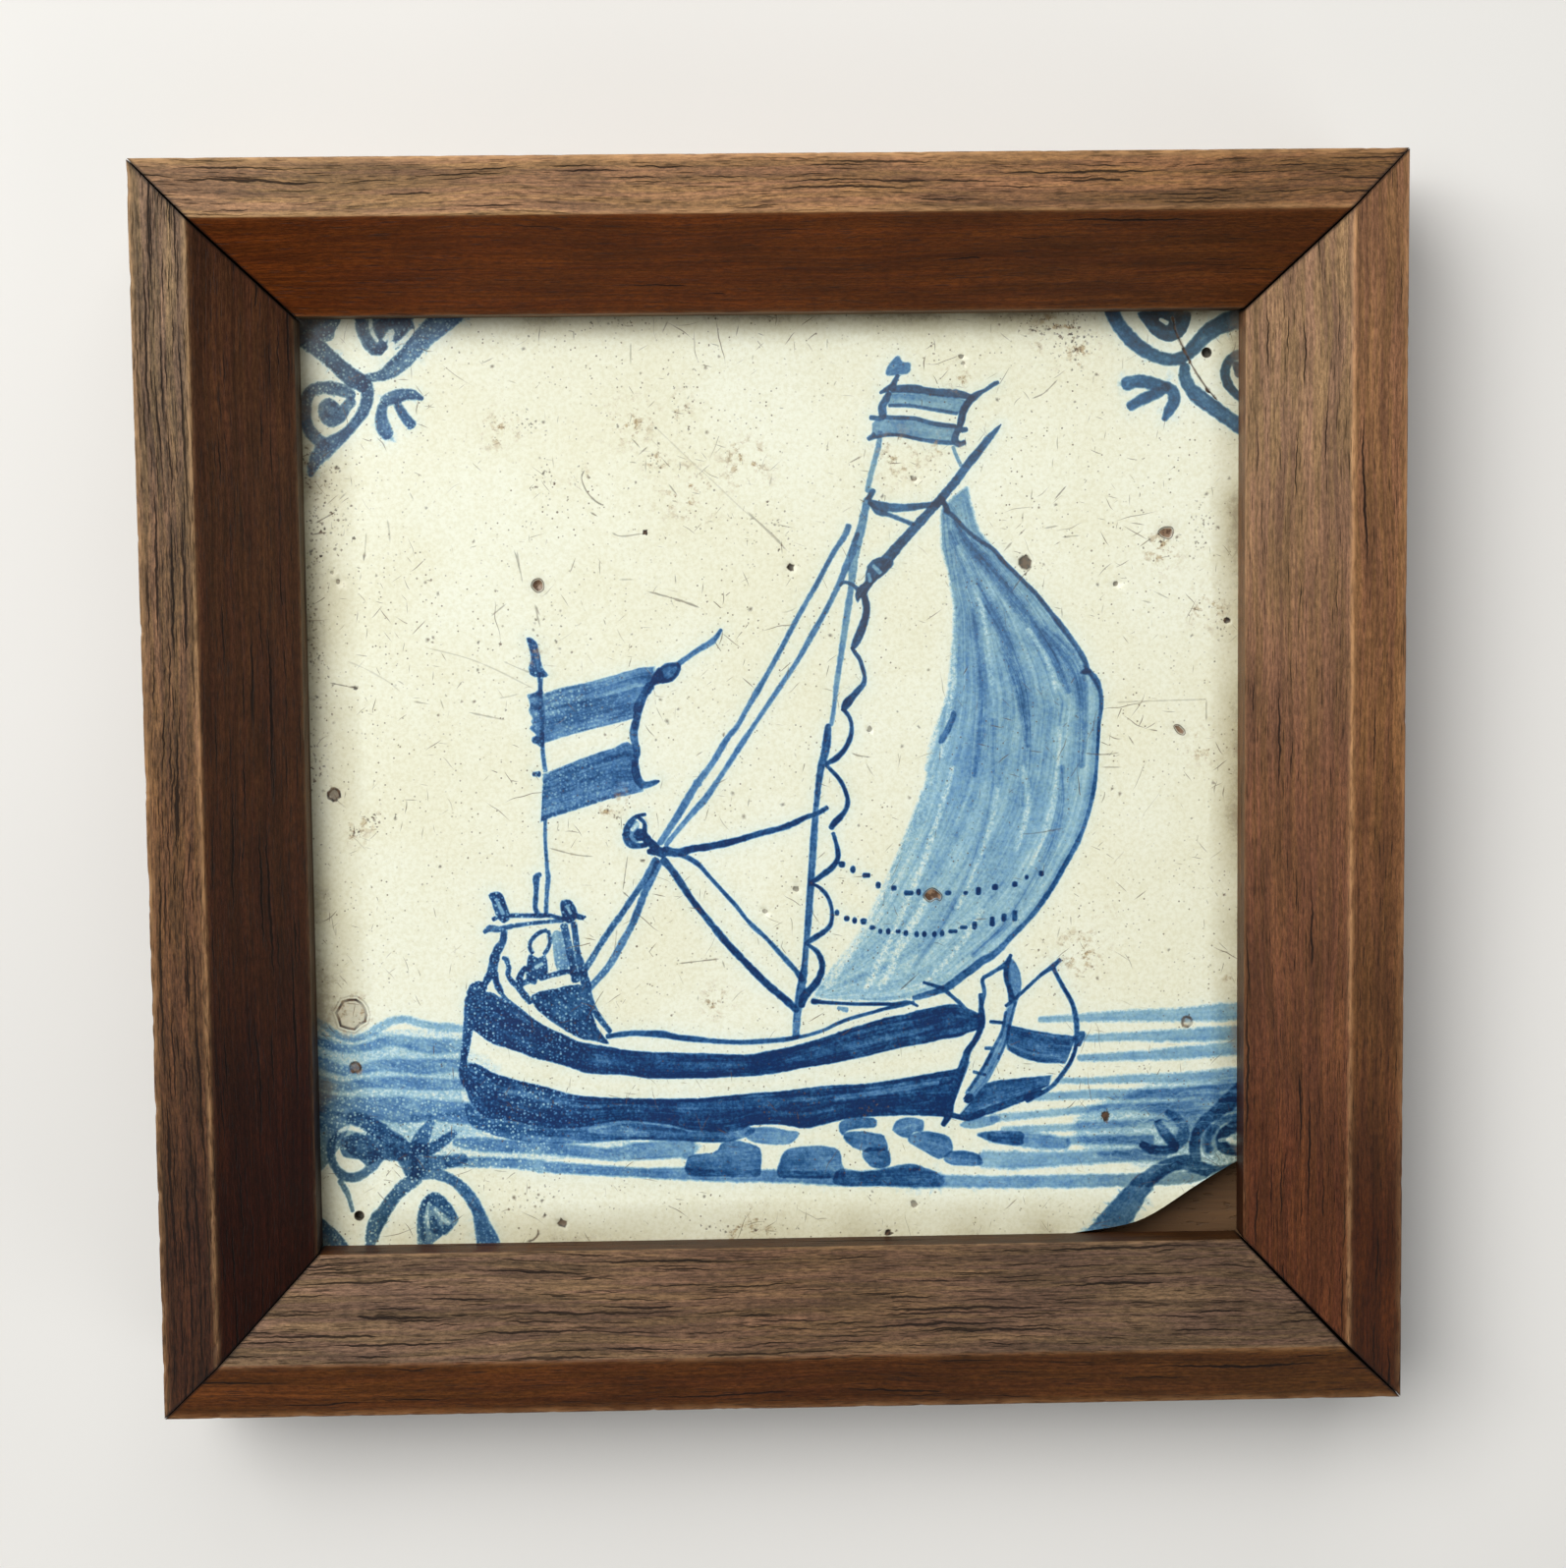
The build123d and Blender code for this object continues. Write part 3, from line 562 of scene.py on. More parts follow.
# Pits in the glaze: centre, radius, how brown, and how deep in millimetres.
PITS = [
    (1044, 572, 7, 0.9, 0.25), (344, 592, 2.5, 1.0, 0.1), (338, 583, 2, 0.9, 0.1), (360, 548, 2, 0.8, 0.0),
    (805, 577, 4, 1.0, 0.15), (1136, 594, 3, 1.0, 0.15), (1249, 632, 3.5, 1.0, 0.15),
    (930, 487, 3, 1.0, 0.15), (978, 363, 3, 1.0, 0.1), (980, 370, 2, 1.0, 0.1), (810, 905, 3, 0.8, 0.1),
    (779, 927, 3, 0.8, 0.1), (885, 742, 3, 0.8, 0.1), (904, 1255, 3.5, 1.0, 0.15), (930, 1225, 4, 0.7, 0.1),
    (1125, 1136, 5, 1.0, 0.2), (572, 1245, 5, 0.9, 0.2), (657, 542, 3.5, 1.0, 0.0),
    (362, 1086, 6, 0.6, 0.15), (340, 809, 5, 0.7, 0.15),
]

# Dark specks in the glaze: centre only. They are about half a millimetre across.
SPECKS = [
    (538, 342), (533, 355), (501, 373), (468, 359), (498, 452), (482, 551), (434, 517), (343, 476),
    (331, 512), (358, 515), (553, 430), (632, 349), (652, 380), (691, 342), (718, 374), (732, 363),
    (629, 434), (647, 491), (668, 436), (719, 440), (727, 499), (1050, 419), (1015, 407), (1094, 409),
    (1116, 381), (1075, 514), (1228, 503), (1251, 487), (1240, 537), (1170, 549), (601, 650), (643, 646),
    (547, 647), (543, 641), (582, 664), (720, 613), (764, 620), (690, 722), (672, 712), (679, 734),
    (668, 753), (737, 747), (616, 748), (828, 588), (845, 647), (945, 682), (913, 724), (918, 760),
    (935, 740), (403, 829), (402, 833), (460, 831), (448, 882), (797, 819), (874, 840), (926, 812),
    (653, 876), (746, 807), (757, 831), (1117, 595), (1213, 647), (1235, 797), (1132, 803), (1140, 808),
    (1213, 833), (1246, 911), (1190, 967), (1100, 922), (1112, 984), (1117, 996), (776, 1066), (523, 1219),
    (548, 1216), (552, 1222), (545, 1228), (554, 1238), (528, 1250), (717, 1218), (888, 1213), (898, 505),
    (383, 586), (446, 604), (441, 649), (436, 651), (440, 654), (504, 602), (487, 654), (486, 682),
    (509, 656), (446, 728), (454, 708), (470, 714), (483, 714), (515, 723), (433, 593), (332, 708),
    (334, 689), (362, 700),
]

# Scratches and craze lines.
SCRATCHES = [
    [(584, 335), (584, 347)],
    [(642, 348), (642, 372)],
    [(752, 330), (749, 343)],
    [(680, 326), (674, 339)],
    [(680, 492), (690, 505)],
    [(740, 522), (743, 528)],
    [(600, 521), (609, 526)],
    [(595, 478), (592, 487), (597, 500), (606, 510), (615, 515)],
    [(760, 520), (790, 548), (800, 560)],
    [(1050, 406), (1063, 400), (1077, 386)],
    [(1021, 562), (1031, 551)],
    [(1036, 546), (1045, 537)],
    [(1073, 555), (1080, 551)],
    [(863, 472), (878, 464)],
    [(842, 345), (842, 356)],
    [(866, 766), (873, 769), (887, 771)],
    [(808, 765), (811, 772)],
    [(980, 688), (986, 677)],
    [(915, 1009), (936, 990)],
    [(1010, 883), (1017, 886)],
    [(992, 936), (1006, 935)],
    [(1040, 849), (1055, 848), (1083, 843)],
    [(1105, 767), (1125, 768), (1140, 766)],
    [(1135, 715), (1190, 713), (1228, 712)],
    [(1228, 712), (1228, 735)],
    [(633, 907), (641, 914)],
    [(639, 870), (634, 907)],
    [(628, 945), (625, 975)],
    [(763, 812), (761, 822)],
    [(735, 977), (738, 986)],
    [(690, 981), (733, 976)],
    [(711, 1012), (710, 1020)],
    [(1042, 964), (1048, 960)],
    [(1061, 976), (1066, 972)],
    [(576, 1112), (579, 1105)],
    [(663, 603), (695, 612), (710, 617)],
    [(320, 533), (342, 521)],
    [(371, 570), (373, 541)],
    [(318, 544), (333, 542)],
    [(558, 863), (585, 870), (605, 872)],
    [(702, 1210), (703, 1214)],
    [(366, 592), (368, 583)],
    [(362, 577), (368, 579)],
    [(370, 572), (371, 562)],
    [(353, 673), (370, 680), (385, 688), (398, 696), (408, 705)],
    [(335, 695), (350, 698), (364, 701)],
    [(336, 701), (341, 696)],
    [(464, 702), (471, 693)],
    [(448, 711), (452, 723)],
    [(508, 659), (510, 652)],
    [(420, 714), (438, 717)],
    [(476, 725), (500, 730), (515, 733)],
    [(507, 711), (518, 709), (529, 706)],
    [(512, 673), (525, 679), (540, 685)],
    [(526, 560), (529, 580)],
    [(545, 615), (550, 628)],
    [(1051, 576), (1040, 588), (1030, 602)],
    [(664, 432), (684, 451), (704, 470), (729, 493), (753, 516), (773, 533), (802, 561)],
    [(658, 602), (684, 609), (713, 619)],
    [(622, 542), (633, 546), (655, 543)],
    [(649, 464), (660, 454)],
    [(786, 483), (783, 496)],
    [(629, 590), (646, 590)],
    [(586, 567), (580, 584)],
    [(687, 584), (688, 595)],
    [(394, 528), (396, 539), (397, 553)],
    [(344, 510), (353, 501)],
    [(432, 659), (472, 669), (503, 681), (543, 701)],
    [(499, 628), (516, 614)],
    [(523, 559), (529, 579), (532, 594)],
    [(544, 614), (550, 639)],
    [(1086, 494), (1073, 509)],
    [(1062, 538), (1078, 535)],
    [(1080, 547), (1100, 545)],
    [(1161, 611), (1173, 614)],
    [(1173, 601), (1191, 610)],
    [(1121, 781), (1142, 781)],
    [(1148, 748), (1155, 759)],
]
CRUMBS = [
    (334, 500, 20, 36, 44), (340, 530, 26, 24, 26), (318, 570, 7, 60, 44), (320, 665, 9, 66, 44),
    (322, 790, 8, 66, 36), (312, 470, 7, 36, 26), (550, 490, 16, 22, 26), (540, 430, 20, 14, 22),
    (1050, 330, 30, 10, 26), (640, 330, 40, 8, 22), (689, 420, 14, 26, 22), (669, 470, 10, 18, 14),
    (1088, 345, 30, 36, 110), (535, 1222, 34, 22, 26), (1221, 543, 12, 42, 34), (1190, 548, 16, 10, 12),
    (1046, 575, 14, 14, 14), (590, 485, 14, 10, 12), (362, 848, 12, 6, 14), (380, 832, 8, 12, 14),
    (625, 822, 14, 10, 16), (1208, 1040, 8, 8, 8), (904, 1255, 16, 6, 12), (790, 540, 30, 30, 30),
    (560, 640, 20, 30, 22), (1240, 640, 10, 34, 18), (330, 560, 14, 40, 26), (330, 760, 10, 60, 24),
    (885, 1128, 8, 6, 10), (1125, 1136, 10, 10, 12), (760, 1252, 60, 6, 24),
]
HAIR_CRACK = [
    (1193, 320), (1197, 338), (1204, 353), (1210, 366), (1220, 383), (1230, 397), (1240, 408),
]
BLACK_CURVE = [
    (547, 1250), (548, 1256), (543, 1262), (535, 1264),
]

# Brownish stains: centre and radius.
STAINS = [
    (690, 415, 12), (665, 470, 12), (590, 485, 10), (975, 385, 12), (1125, 933, 8), (730, 1020, 14),
    (1085, 338, 30), (1072, 322, 18), (1100, 362, 18), (1100, 970, 24), (1253, 997, 7), (362, 848, 10),
    (378, 836, 10), (617, 825, 8), (635, 815, 9), (540, 665, 10), (700, 500, 26), (640, 430, 22),
    (760, 470, 24), (915, 465, 22), (1180, 560, 20), (1230, 620, 18), (760, 1255, 26), (1225, 760, 16),
    (510, 440, 18), (960, 460, 16),
]
GLAZE_BLISTERS = [
    (358, 1032, 15), (340, 809, 6), (362, 1087, 5), (1208, 1040, 5),
]
# Chips in the glaze, to the paler clay, each within a dark rim.
CHIPS = [
    [(940, 912), (944, 906), (950, 904), (956, 908), (959, 912), (957, 917), (953, 915), (946, 918)],
    [(1179, 542), (1184, 537), (1193, 537), (1194, 543), (1191, 548), (1184, 547)],
    [(541, 597), (543, 591), (549, 589), (553, 593), (553, 600), (547, 603)],
    [(1195, 739), (1200, 738), (1206, 744), (1205, 748), (1199, 746)],
]


# From photo pixels to the tile's face.

camera_turn = Euler([math.radians(a) for a in CAMERA_TILT], "XYZ").to_matrix()
camera_axes = np.array(camera_turn)


def on_face(points):
    """Millimetres on the tile's face for points (x, y) on the photo."""
    points = np.asarray(points, float)
    rays = np.column_stack([
        (points[:, 0] - PHOTO_WIDTH / 2) / FOCAL_PIXELS,
        -(points[:, 1] - PHOTO_HEIGHT / 2) / FOCAL_PIXELS,
        -np.ones(len(points)),
    ]) @ camera_axes.T
    reach = (FACE_Z * MM - CAMERA_SPOT[2]) / rays[:, 2]
    return (np.array(CAMERA_SPOT[:2]) + rays[:, :2] * reach[:, None]) / MM


def smooth_curve(points, step, closed=False):
    """Points about one step apart on a Catmull-Rom curve through the given ones, with all their columns."""
    points = np.asarray(points, float)
    if closed:
        padded = np.vstack([points[-1], points, points[0], points[1]])
    else:
        padded = np.vstack([2 * points[0] - points[1], points, 2 * points[-1] - points[-2]])
    made = []
    for a, b, c, d in zip(padded[:-3], padded[1:-2], padded[2:-1], padded[3:]):
        count = max(1, math.ceil(np.hypot(*(c - b)[:2]) / step))
        for t in np.arange(count) / count:
            made.append(0.5 * (2 * b + (c - a) * t + (2 * a - 5 * b + 4 * c - d) * t**2
                               + (3 * b - a - 3 * c + d) * t**3))
    if not closed:
        made.append(points[-1])
    return np.array(made)


EDGE_OUT = 0.07     # how far a stroke's soft edge reaches out from its width, in millimetres
EDGE_IN = 0.16      # and how far in
BLUNT = 0.6         # how far a stroke's rounded end reaches, as a share of half its width


def from_segments(spots, start, run, square):
    """From each segment to each spot: the gap from its start, the share along, and the rest of the gap."""
    gap = spots[:, None, :] - start[None]
    share = np.clip((gap * run).sum(2) / square, 0, 1)
    return gap, share, gap - share[:, :, None] * run


class Ribbon:
    """One stroke of the brush along a line, with a width of its own at each point."""

    def __init__(self, pigment, points, streak=0.3, soft=1.0):
        table = np.asarray(points, float)
        line = np.column_stack([on_face(table[:, :2]), table[:, 2] / PIXELS_PER_MM])
        line = smooth_curve(line, step=0.45)
        line[:, 2] = np.maximum(line[:, 2] * (1 + 0.05 * dice.standard_normal(len(line))), 0.12)
        self.pigment, self.line, self.streak, self.soft = pigment, line, streak, soft
        self.seed = dice.uniform(0, 100)

    def contours(self):
        centre, half = self.line[:, :2], self.line[:, 2] / 2
        along = np.gradient(centre, axis=0)
        along /= np.maximum(np.hypot(*along.T), 1e-9)[:, None]
        side = np.column_stack([-along[:, 1], along[:, 0]])
        rings = []
        for reach in (half + EDGE_OUT * self.soft, half - np.minimum(EDGE_IN * self.soft, 0.45 * half)):
            reach = np.maximum(reach, 0.03)
            left, right = centre + side * reach[:, None], centre - side * reach[:, None]
            caps = []
            for spot, out, r in ((centre[-1], along[-1], reach[-1]), (centre[0], -along[0], reach[0])):
                across = np.array([-out[1], out[0]])
                caps.append([spot + r * (across * math.cos(a) + BLUNT * out * math.sin(a))
                             for a in (0.78, 1.57, 2.36)])
            rings.append(np.vstack([right[::-1], caps[1][::-1], left, caps[0]]))
        return rings

    def measure(self, spots):
        """Signed distance to the stroke's edge, and the brush's own coordinates, for spots in its reach."""
        start, end = self.line[:-1], self.line[1:]
        run = end[:, :2] - start[:, :2]
        length = np.maximum(np.hypot(*run.T), 1e-9)
        before = np.concatenate([[0], np.cumsum(length)[:-1]])
        gap, t, near = from_segments(spots, start[:, :2], run, length**2)
        # The two ends are blunt, as those of the contours are.
        past = (near * run).sum(2) / length
        past[:, 1:-1] = 0
        distance = np.sqrt((near**2).sum(2) + past**2 * (1 / BLUNT**2 - 1))
        half = (start[:, 2] + t * (end[:, 2] - start[:, 2])) / 2
        best = (distance - half).argmin(1)
        rows = np.arange(len(spots))
        cross = run[best, 0] * gap[rows, best, 1] - run[best, 1] * gap[rows, best, 0]
        signed = distance[rows, best] - half[rows, best]
        across = np.sign(cross) * distance[rows, best]
        return signed, half[rows, best], across, before[best] + t[rows, best] * length[best]

    def box(self):
        reach = self.line[:, 2].max() / 2 + 2.0
        return self.line[:, :2].min(0) - reach, self.line[:, :2].max(0) + reach


def ring_distance(spots, ring):
    """Distance from each spot to a closed outline, less than nought inside."""
    start, end = ring, np.roll(ring, -1, axis=0)
    run = end - start
    near = from_segments(spots, start, run, np.maximum((run**2).sum(1), 1e-12))[2]
    distance = np.hypot(near[:, :, 0], near[:, :, 1]).min(1)
    above = (start[None, :, 1] > spots[:, None, 1]) != (end[None, :, 1] > spots[:, None, 1])
    rise = np.where(np.abs(run[:, 1]) < 1e-12, 1e-12, run[:, 1])
    cut = start[:, 0] + (spots[:, None, 1] - start[:, 1]) / rise * run[:, 0]
    inside = (above & (spots[:, None, 0] < cut)).sum(1) % 2 == 1
    return np.where(inside, -distance, distance)


def line_distance(spots, line):
    """Distance to an open line, and how far along it the nearest place is."""
    start, end = line[:-1], line[1:]
    run = end - start
    length = np.maximum(np.hypot(*run.T), 1e-9)
    before = np.concatenate([[0], np.cumsum(length)[:-1]])
    t, near = from_segments(spots, start, run, length**2)[1:]
    distance = np.hypot(near[:, :, 0], near[:, :, 1])
    best = distance.argmin(1)
    rows = np.arange(len(spots))
    return distance[rows, best], before[best] + t[rows, best] * length[best]


def inset_ring(ring, amount):
    """The outline moved inwards by amount, or outwards where that is less than nought."""
    along = np.roll(ring, -1, axis=0) - np.roll(ring, 1, axis=0)
    along /= np.maximum(np.hypot(*along.T), 1e-9)[:, None]
    side = np.column_stack([-along[:, 1], along[:, 0]])
    following = np.roll(ring, -1, axis=0)
    area = (ring[:, 0] * following[:, 1] - following[:, 0] * ring[:, 1]).sum()
    return ring + side * amount * (1 if area > 0 else -1)


class Filled:
    """A shape filled with the brush, or a broad band painted along its length."""

    def __init__(self, pigment, outline=None, edges=None, streak=0.45, soft=1.0):
        self.pigment, self.streak, self.soft = pigment, streak, soft
        self.seed = dice.uniform(0, 100)
        self.edges = None
        if edges is not None:
            one, other = [smooth_curve(on_face(e), step=0.5) for e in edges]
            self.edges = one, other
            ring = np.vstack([one, other[::-1]])
        else:
            ring = smooth_curve(on_face(outline), step=0.5, closed=True)
        self.ring = ring + dice.normal(0, 0.025, ring.shape)

    def contours(self):
        return [inset_ring(self.ring, -EDGE_OUT * self.soft), inset_ring(self.ring, EDGE_IN * self.soft)]

    def measure(self, spots):
        signed = ring_distance(spots, self.ring)
        broad = np.full(len(spots), 5.0)
        if self.edges is None:
            middle = self.ring.mean(0)
            spread = np.linalg.svd(self.ring - middle, full_matrices=False)[2]
            local = (spots - middle) @ spread.T
            return signed, broad, local[:, 1], local[:, 0]
        near_one, along_one = line_distance(spots, self.edges[0])
        near_other, along_other = line_distance(spots, self.edges[1])
        share = near_one / np.maximum(near_one + near_other, 1e-6)
        length_one = np.hypot(*np.diff(self.edges[0], axis=0).T).sum()
        length_other = np.hypot(*np.diff(self.edges[1], axis=0).T).sum()
        along = (1 - share) * along_one / length_one + share * along_other / length_other
        width = np.hypot(*(self.edges[0][len(self.edges[0]) // 2] - self.edges[1][len(self.edges[1]) // 2]))
        return signed, broad, share * width, along * (length_one + length_other) / 2

    def box(self):
        return self.ring.min(0) - 2.0, self.ring.max(0) + 2.0


# Each group of strokes with how streaky and soft it is, and how much wider and deeper than its table says.
inks = []
for group, streak, soft, wider, deeper in (
    (WATER_LEFT, 0.35, 1.7, 1.18, 1.0), (WATER_RIGHT, 0.4, 2.2, 1.2, 0.78),
    (OX_HEAD_TOP_LEFT, 0.35, 1.3, 1.06, 1.04), (OX_HEAD_TOP_RIGHT, 0.4, 1.3, 1.0, 1.04),
    (OX_HEAD_BOTTOM_LEFT, 0.3, 1.3, 1.04, 0.94), (OX_HEAD_BOTTOM_RIGHT, 0.35, 1.3, 1.1, 1.13),
):
    for pigment, points in group:
        line = [(x, y, wide * wider) for x, y, wide in points]
        inks.append(Ribbon(min(pigment * deeper, 0.98), line, streak=streak, soft=soft))
sail = Filled(0.405, edges=(SAIL_LEFT_EDGE, HEAD_OF_SAIL + LEECH), streak=1.0, soft=2.0)
inks.append(sail)
inks += [Ribbon(pigment, points, streak=0.9, soft=4.0) for pigment, points in SAIL_STREAKS + WATER_WASHES]
inks += [Filled(pigment, outline=outline) for pigment, outline in FILLS]
inks += [Filled(pigment, edges=edges, streak=0.7) for pigment, *edges in BANDS]
for group in (
    STAYS, MAST, GAFF, LUFF, SAIL_LINES, STERN_FLAG, STERN_GEAR, HULL_LINES, LEEBOARD_LINES, MASTHEAD,
):
    thicker = 1.14 if group in (STAYS, LUFF, STERN_GEAR, HULL_LINES) else 1.0
    inks += [Ribbon(pigment, [(x, y, wide * thicker) for x, y, wide in points], streak=0.25)
             for pigment, points in group]
inks += [Ribbon(pigment, points, soft=1.4) for pigment, points in WIPES]
for x, y, wide, tall in REEF_POINTS:
    wide, tall = 1.42 * wide, 1.42 * tall
    reach = (wide - tall) / 2 or 0.6
    if reach > 0:
        ends = [(x - reach, y, tall), (x + reach, y, tall)]
    else:
        ends = [(x, y + reach, wide), (x, y - reach, wide)]
    inks.append(Ribbon(0.97, ends, streak=0.0))


def blob(spot, radius, points=9, rough=0.18):
    """A rough round outline in millimetres."""
    turn = np.arange(points) / points * 2 * math.pi + dice.uniform(0, 1)
    reach = radius * (1 + rough * dice.standard_normal(points))
    return spot + np.column_stack([np.cos(turn), np.sin(turn)]) * reach[:, None]


class Mark:
    """A pit, speck or scratch: an outer contour where it begins and inner spots where it is full."""

    def __init__(self, outer, inner, grime, depth=0.0):
        self.outer, self.inner, self.grime, self.depth = outer, inner, grime, depth


marks = []
for x, y, radius, grime, depth in PITS:
    ring = blob(on_face([(x, y)])[0], radius / PIXELS_PER_MM)
    middle = ring.mean(0)
    marks.append(Mark(middle + (ring - middle) * 1.1, middle + (ring - middle) * 0.82, grime, depth))
for spot in on_face(SPECKS):
    ring = blob(spot, dice.uniform(0.2, 0.42), points=6, rough=0.25)
    marks.append(Mark(ring, spot[None], dice.uniform(0.75, 1.0)))
for points in SCRATCHES + [HAIR_CRACK, BLACK_CURVE]:
    line = smooth_curve(on_face(points), step=0.6)
    along = np.gradient(line, axis=0)
    along /= np.hypot(*along.T)[:, None]
    side = np.column_stack([-along[:, 1], along[:, 0]])
    wide = 0.24 if points in (HAIR_CRACK, BLACK_CURVE) else 0.15
    reach = np.maximum(wide * (1 + 0.25 * dice.standard_normal(len(line))), 0.05)[:, None]
    reach[0] = reach[-1] = 0.03
    outer = np.vstack([line + side * reach, (line - side * reach)[::-1]])
    faint = 0.55 if np.hypot(*(line[-1] - line[0])) > 8.0 else 1.0
    marks.append(Mark(outer, line, 1.0 if wide > 0.2 else faint * dice.uniform(0.4, 0.85)))


blisters = [
    (blob(on_face([(x, y)])[0], radius / PIXELS_PER_MM, points=14, rough=0.07), radius / PIXELS_PER_MM)
    for x, y, radius in GLAZE_BLISTERS]

# Crumbs of dirt close together in a few worn places: middle and reach in photo pixels, and how many.
for x, y, wide, tall, count in CRUMBS:
    crumbs = np.column_stack([dice.normal(x, wide / 2, count), dice.normal(y, tall / 2, count)])
    for spot in on_face(crumbs):
        if abs(spot).max() < SIGHT_HALF:
            ring = blob(spot, dice.uniform(0.11, 0.27), points=5, rough=0.35)
            marks.append(Mark(ring, spot[None], dice.uniform(0.5, 1.0)))

# Fine wear that the eye only counts: short scratches and dots, thicker in the upper middle and right.
for _ in range(150):
    spot = dice.uniform(-SIGHT_HALF, SIGHT_HALF, 2)
    if dice.uniform() > 0.25 + 0.75 * (spot[0] > -40) * (0.55 + 0.45 * (spot[1] > -20)):
        continue
    turn, length = dice.uniform(0, math.pi), dice.uniform(0.4, 2.6) * dice.uniform(0.4, 1.0)
    bend = dice.uniform(-0.5, 0.5)
    shares = np.linspace(-0.5, 0.5, 4)
    line = spot + length * np.column_stack([shares * math.cos(turn) - bend * shares**2 * math.sin(turn),
                                            shares * math.sin(turn) + bend * shares**2 * math.cos(turn)])
    side = np.array([-math.sin(turn), math.cos(turn)]) * dice.uniform(0.08, 0.13)
    marks.append(Mark(np.vstack([line + side, (line - side)[::-1]]), line, dice.uniform(0.25, 0.7)))
for _ in range(400):
    spot = dice.uniform(-SIGHT_HALF, SIGHT_HALF, 2)
    if dice.uniform() > 0.35 + 0.65 * (spot[0] > -40):
        continue
    ring = blob(spot, dice.uniform(0.08, 0.19), points=5, rough=0.2)
    marks.append(Mark(ring, spot[None], dice.uniform(0.4, 1.0)))


def soft_noise(spots, size, seed):
    """Smooth noise from about -1 to 1, with features of the given size."""
    own = np.random.default_rng(seed)
    table = own.uniform(-1, 1, (64, 64))
    place = spots / size
    cell = np.floor(place).astype(int)
    share = place - cell
    share = share * share * (3 - 2 * share)
    x0, y0 = cell[:, 0] % 64, cell[:, 1] % 64
    x1, y1 = (x0 + 1) % 64, (y0 + 1) % 64
    low = table[x0, y0] * (1 - share[:, 0]) + table[x1, y0] * share[:, 0]
    high = table[x0, y1] * (1 - share[:, 0]) + table[x1, y1] * share[:, 0]
    return low * (1 - share[:, 1]) + high * share[:, 1]


def paint(spots):
    """What lies on the glaze at each spot, by name, with how deep it is and the brush's own coordinates."""
    clear = np.ones(len(spots))
    halo = np.zeros(len(spots))
    streak = np.zeros(len(spots))
    brush = np.column_stack([spots, np.zeros(len(spots))])
    for ink in inks:
        low, high = ink.box()
        near = np.flatnonzero(((spots > low) & (spots < high)).all(1))
        if not len(near):
            continue
        signed, half, across, along = ink.measure(spots[near])
        inwards = np.minimum(EDGE_IN * ink.soft, 0.45 * half)
        full = np.clip((EDGE_OUT * ink.soft - signed) / (EDGE_OUT * ink.soft + inwards), 0, 1)
        strength = ink.pigment * full
        if ink is sail:
            strength *= 0.7 + 0.3 * np.clip(across / 3.0, 0, 1)
            strength *= 1.03 - 0.26 * np.clip((along - 30) / 40, 0, 1)
            across, along = 0.75 * across, 0.4 * along
        else:
            strength *= 1 + 0.06 * np.clip(1 + (signed + inwards) / 0.4, 0, 1) * (signed < -inwards + 0.02)
        if ink.pigment < 0:
            clear[near] = 1 - (1 - clear[near]) * (1 + strength)
            continue
        clear[near] *= 1 - np.minimum(strength, 1)
        edge = np.maximum(signed - 0.05, 0)
        halo[near] = np.maximum(halo[near], min(1, ink.pigment * 1.2) * np.exp(-edge / 0.8))
        on = near[signed < 0.02]
        brush[on] = np.column_stack([across, along, np.full(len(along), ink.seed)])[signed < 0.02]
        streak[on] = ink.streak
    grime = np.zeros(len(spots))
    depth = np.zeros(len(spots))
    for mark in marks:
        low, high = mark.outer.min(0) - 0.01, mark.outer.max(0) + 0.01
        near = np.flatnonzero(((spots > low) & (spots < high)).all(1))
        if not len(near):
            continue
        gap = ring_distance(spots[near], mark.outer)
        full = np.clip(-gap / 0.12, 0, 1) if mark.depth > 0 else (gap < -0.015).astype(float)
        grime[near] = np.maximum(grime[near], mark.grime * full)
        depth[near] = np.maximum(depth[near], mark.depth * full)
    stain = np.zeros(len(spots))
    chip = np.zeros(len(spots))
    for x, y, radius in STAINS:
        spot = on_face([(x, y)])[0]
        gap = np.hypot(*(spots - spot).T) / (radius / PIXELS_PER_MM)
        stain = np.maximum(stain, np.exp(-gap**2) * 0.9)
    for outline in CHIPS:
        gap = ring_distance(spots, smooth_curve(on_face(outline), step=0.3, closed=True))
        grime = np.where(gap < -0.14, 0.0, np.maximum(grime, np.clip(1.1 - abs(gap) / 0.13, 0, 1)))
        chip = np.maximum(chip, np.clip((-gap - 0.1) / 0.06, 0, 1))
        depth = np.maximum(depth, np.clip(-gap / 0.15, 0, 1) * 0.16)
    for ring, radius in blisters:
        gap = ring_distance(spots, ring)
        broken = np.clip(0.9 + 0.5 * soft_noise(spots, 0.7, 31), 0.3, 1)
        grime = np.maximum(grime, np.clip(1.9 - abs(gap) / 0.13, 0, 1) * broken)
        second = np.clip(1.2 - abs(gap - 0.5) / 0.16, 0, 1)
        grime = np.maximum(grime, second * 0.5 * broken * (radius > 1.5))
        chip = np.maximum(chip, np.clip(-gap / 0.2, 0, 1) * 0.3)
        stain = np.maximum(stain, np.clip(1 - gap / (0.9 * radius), 0, 1) * 0.7)
        depth = np.maximum(depth, np.clip(-gap / 0.2, 0, 1) * 0.06)
    return {"pigment": 1 - clear, "halo": halo, "grime": grime, "stain": stain, "chip": chip,
            "depth": depth, "brush": brush, "streak": streak}


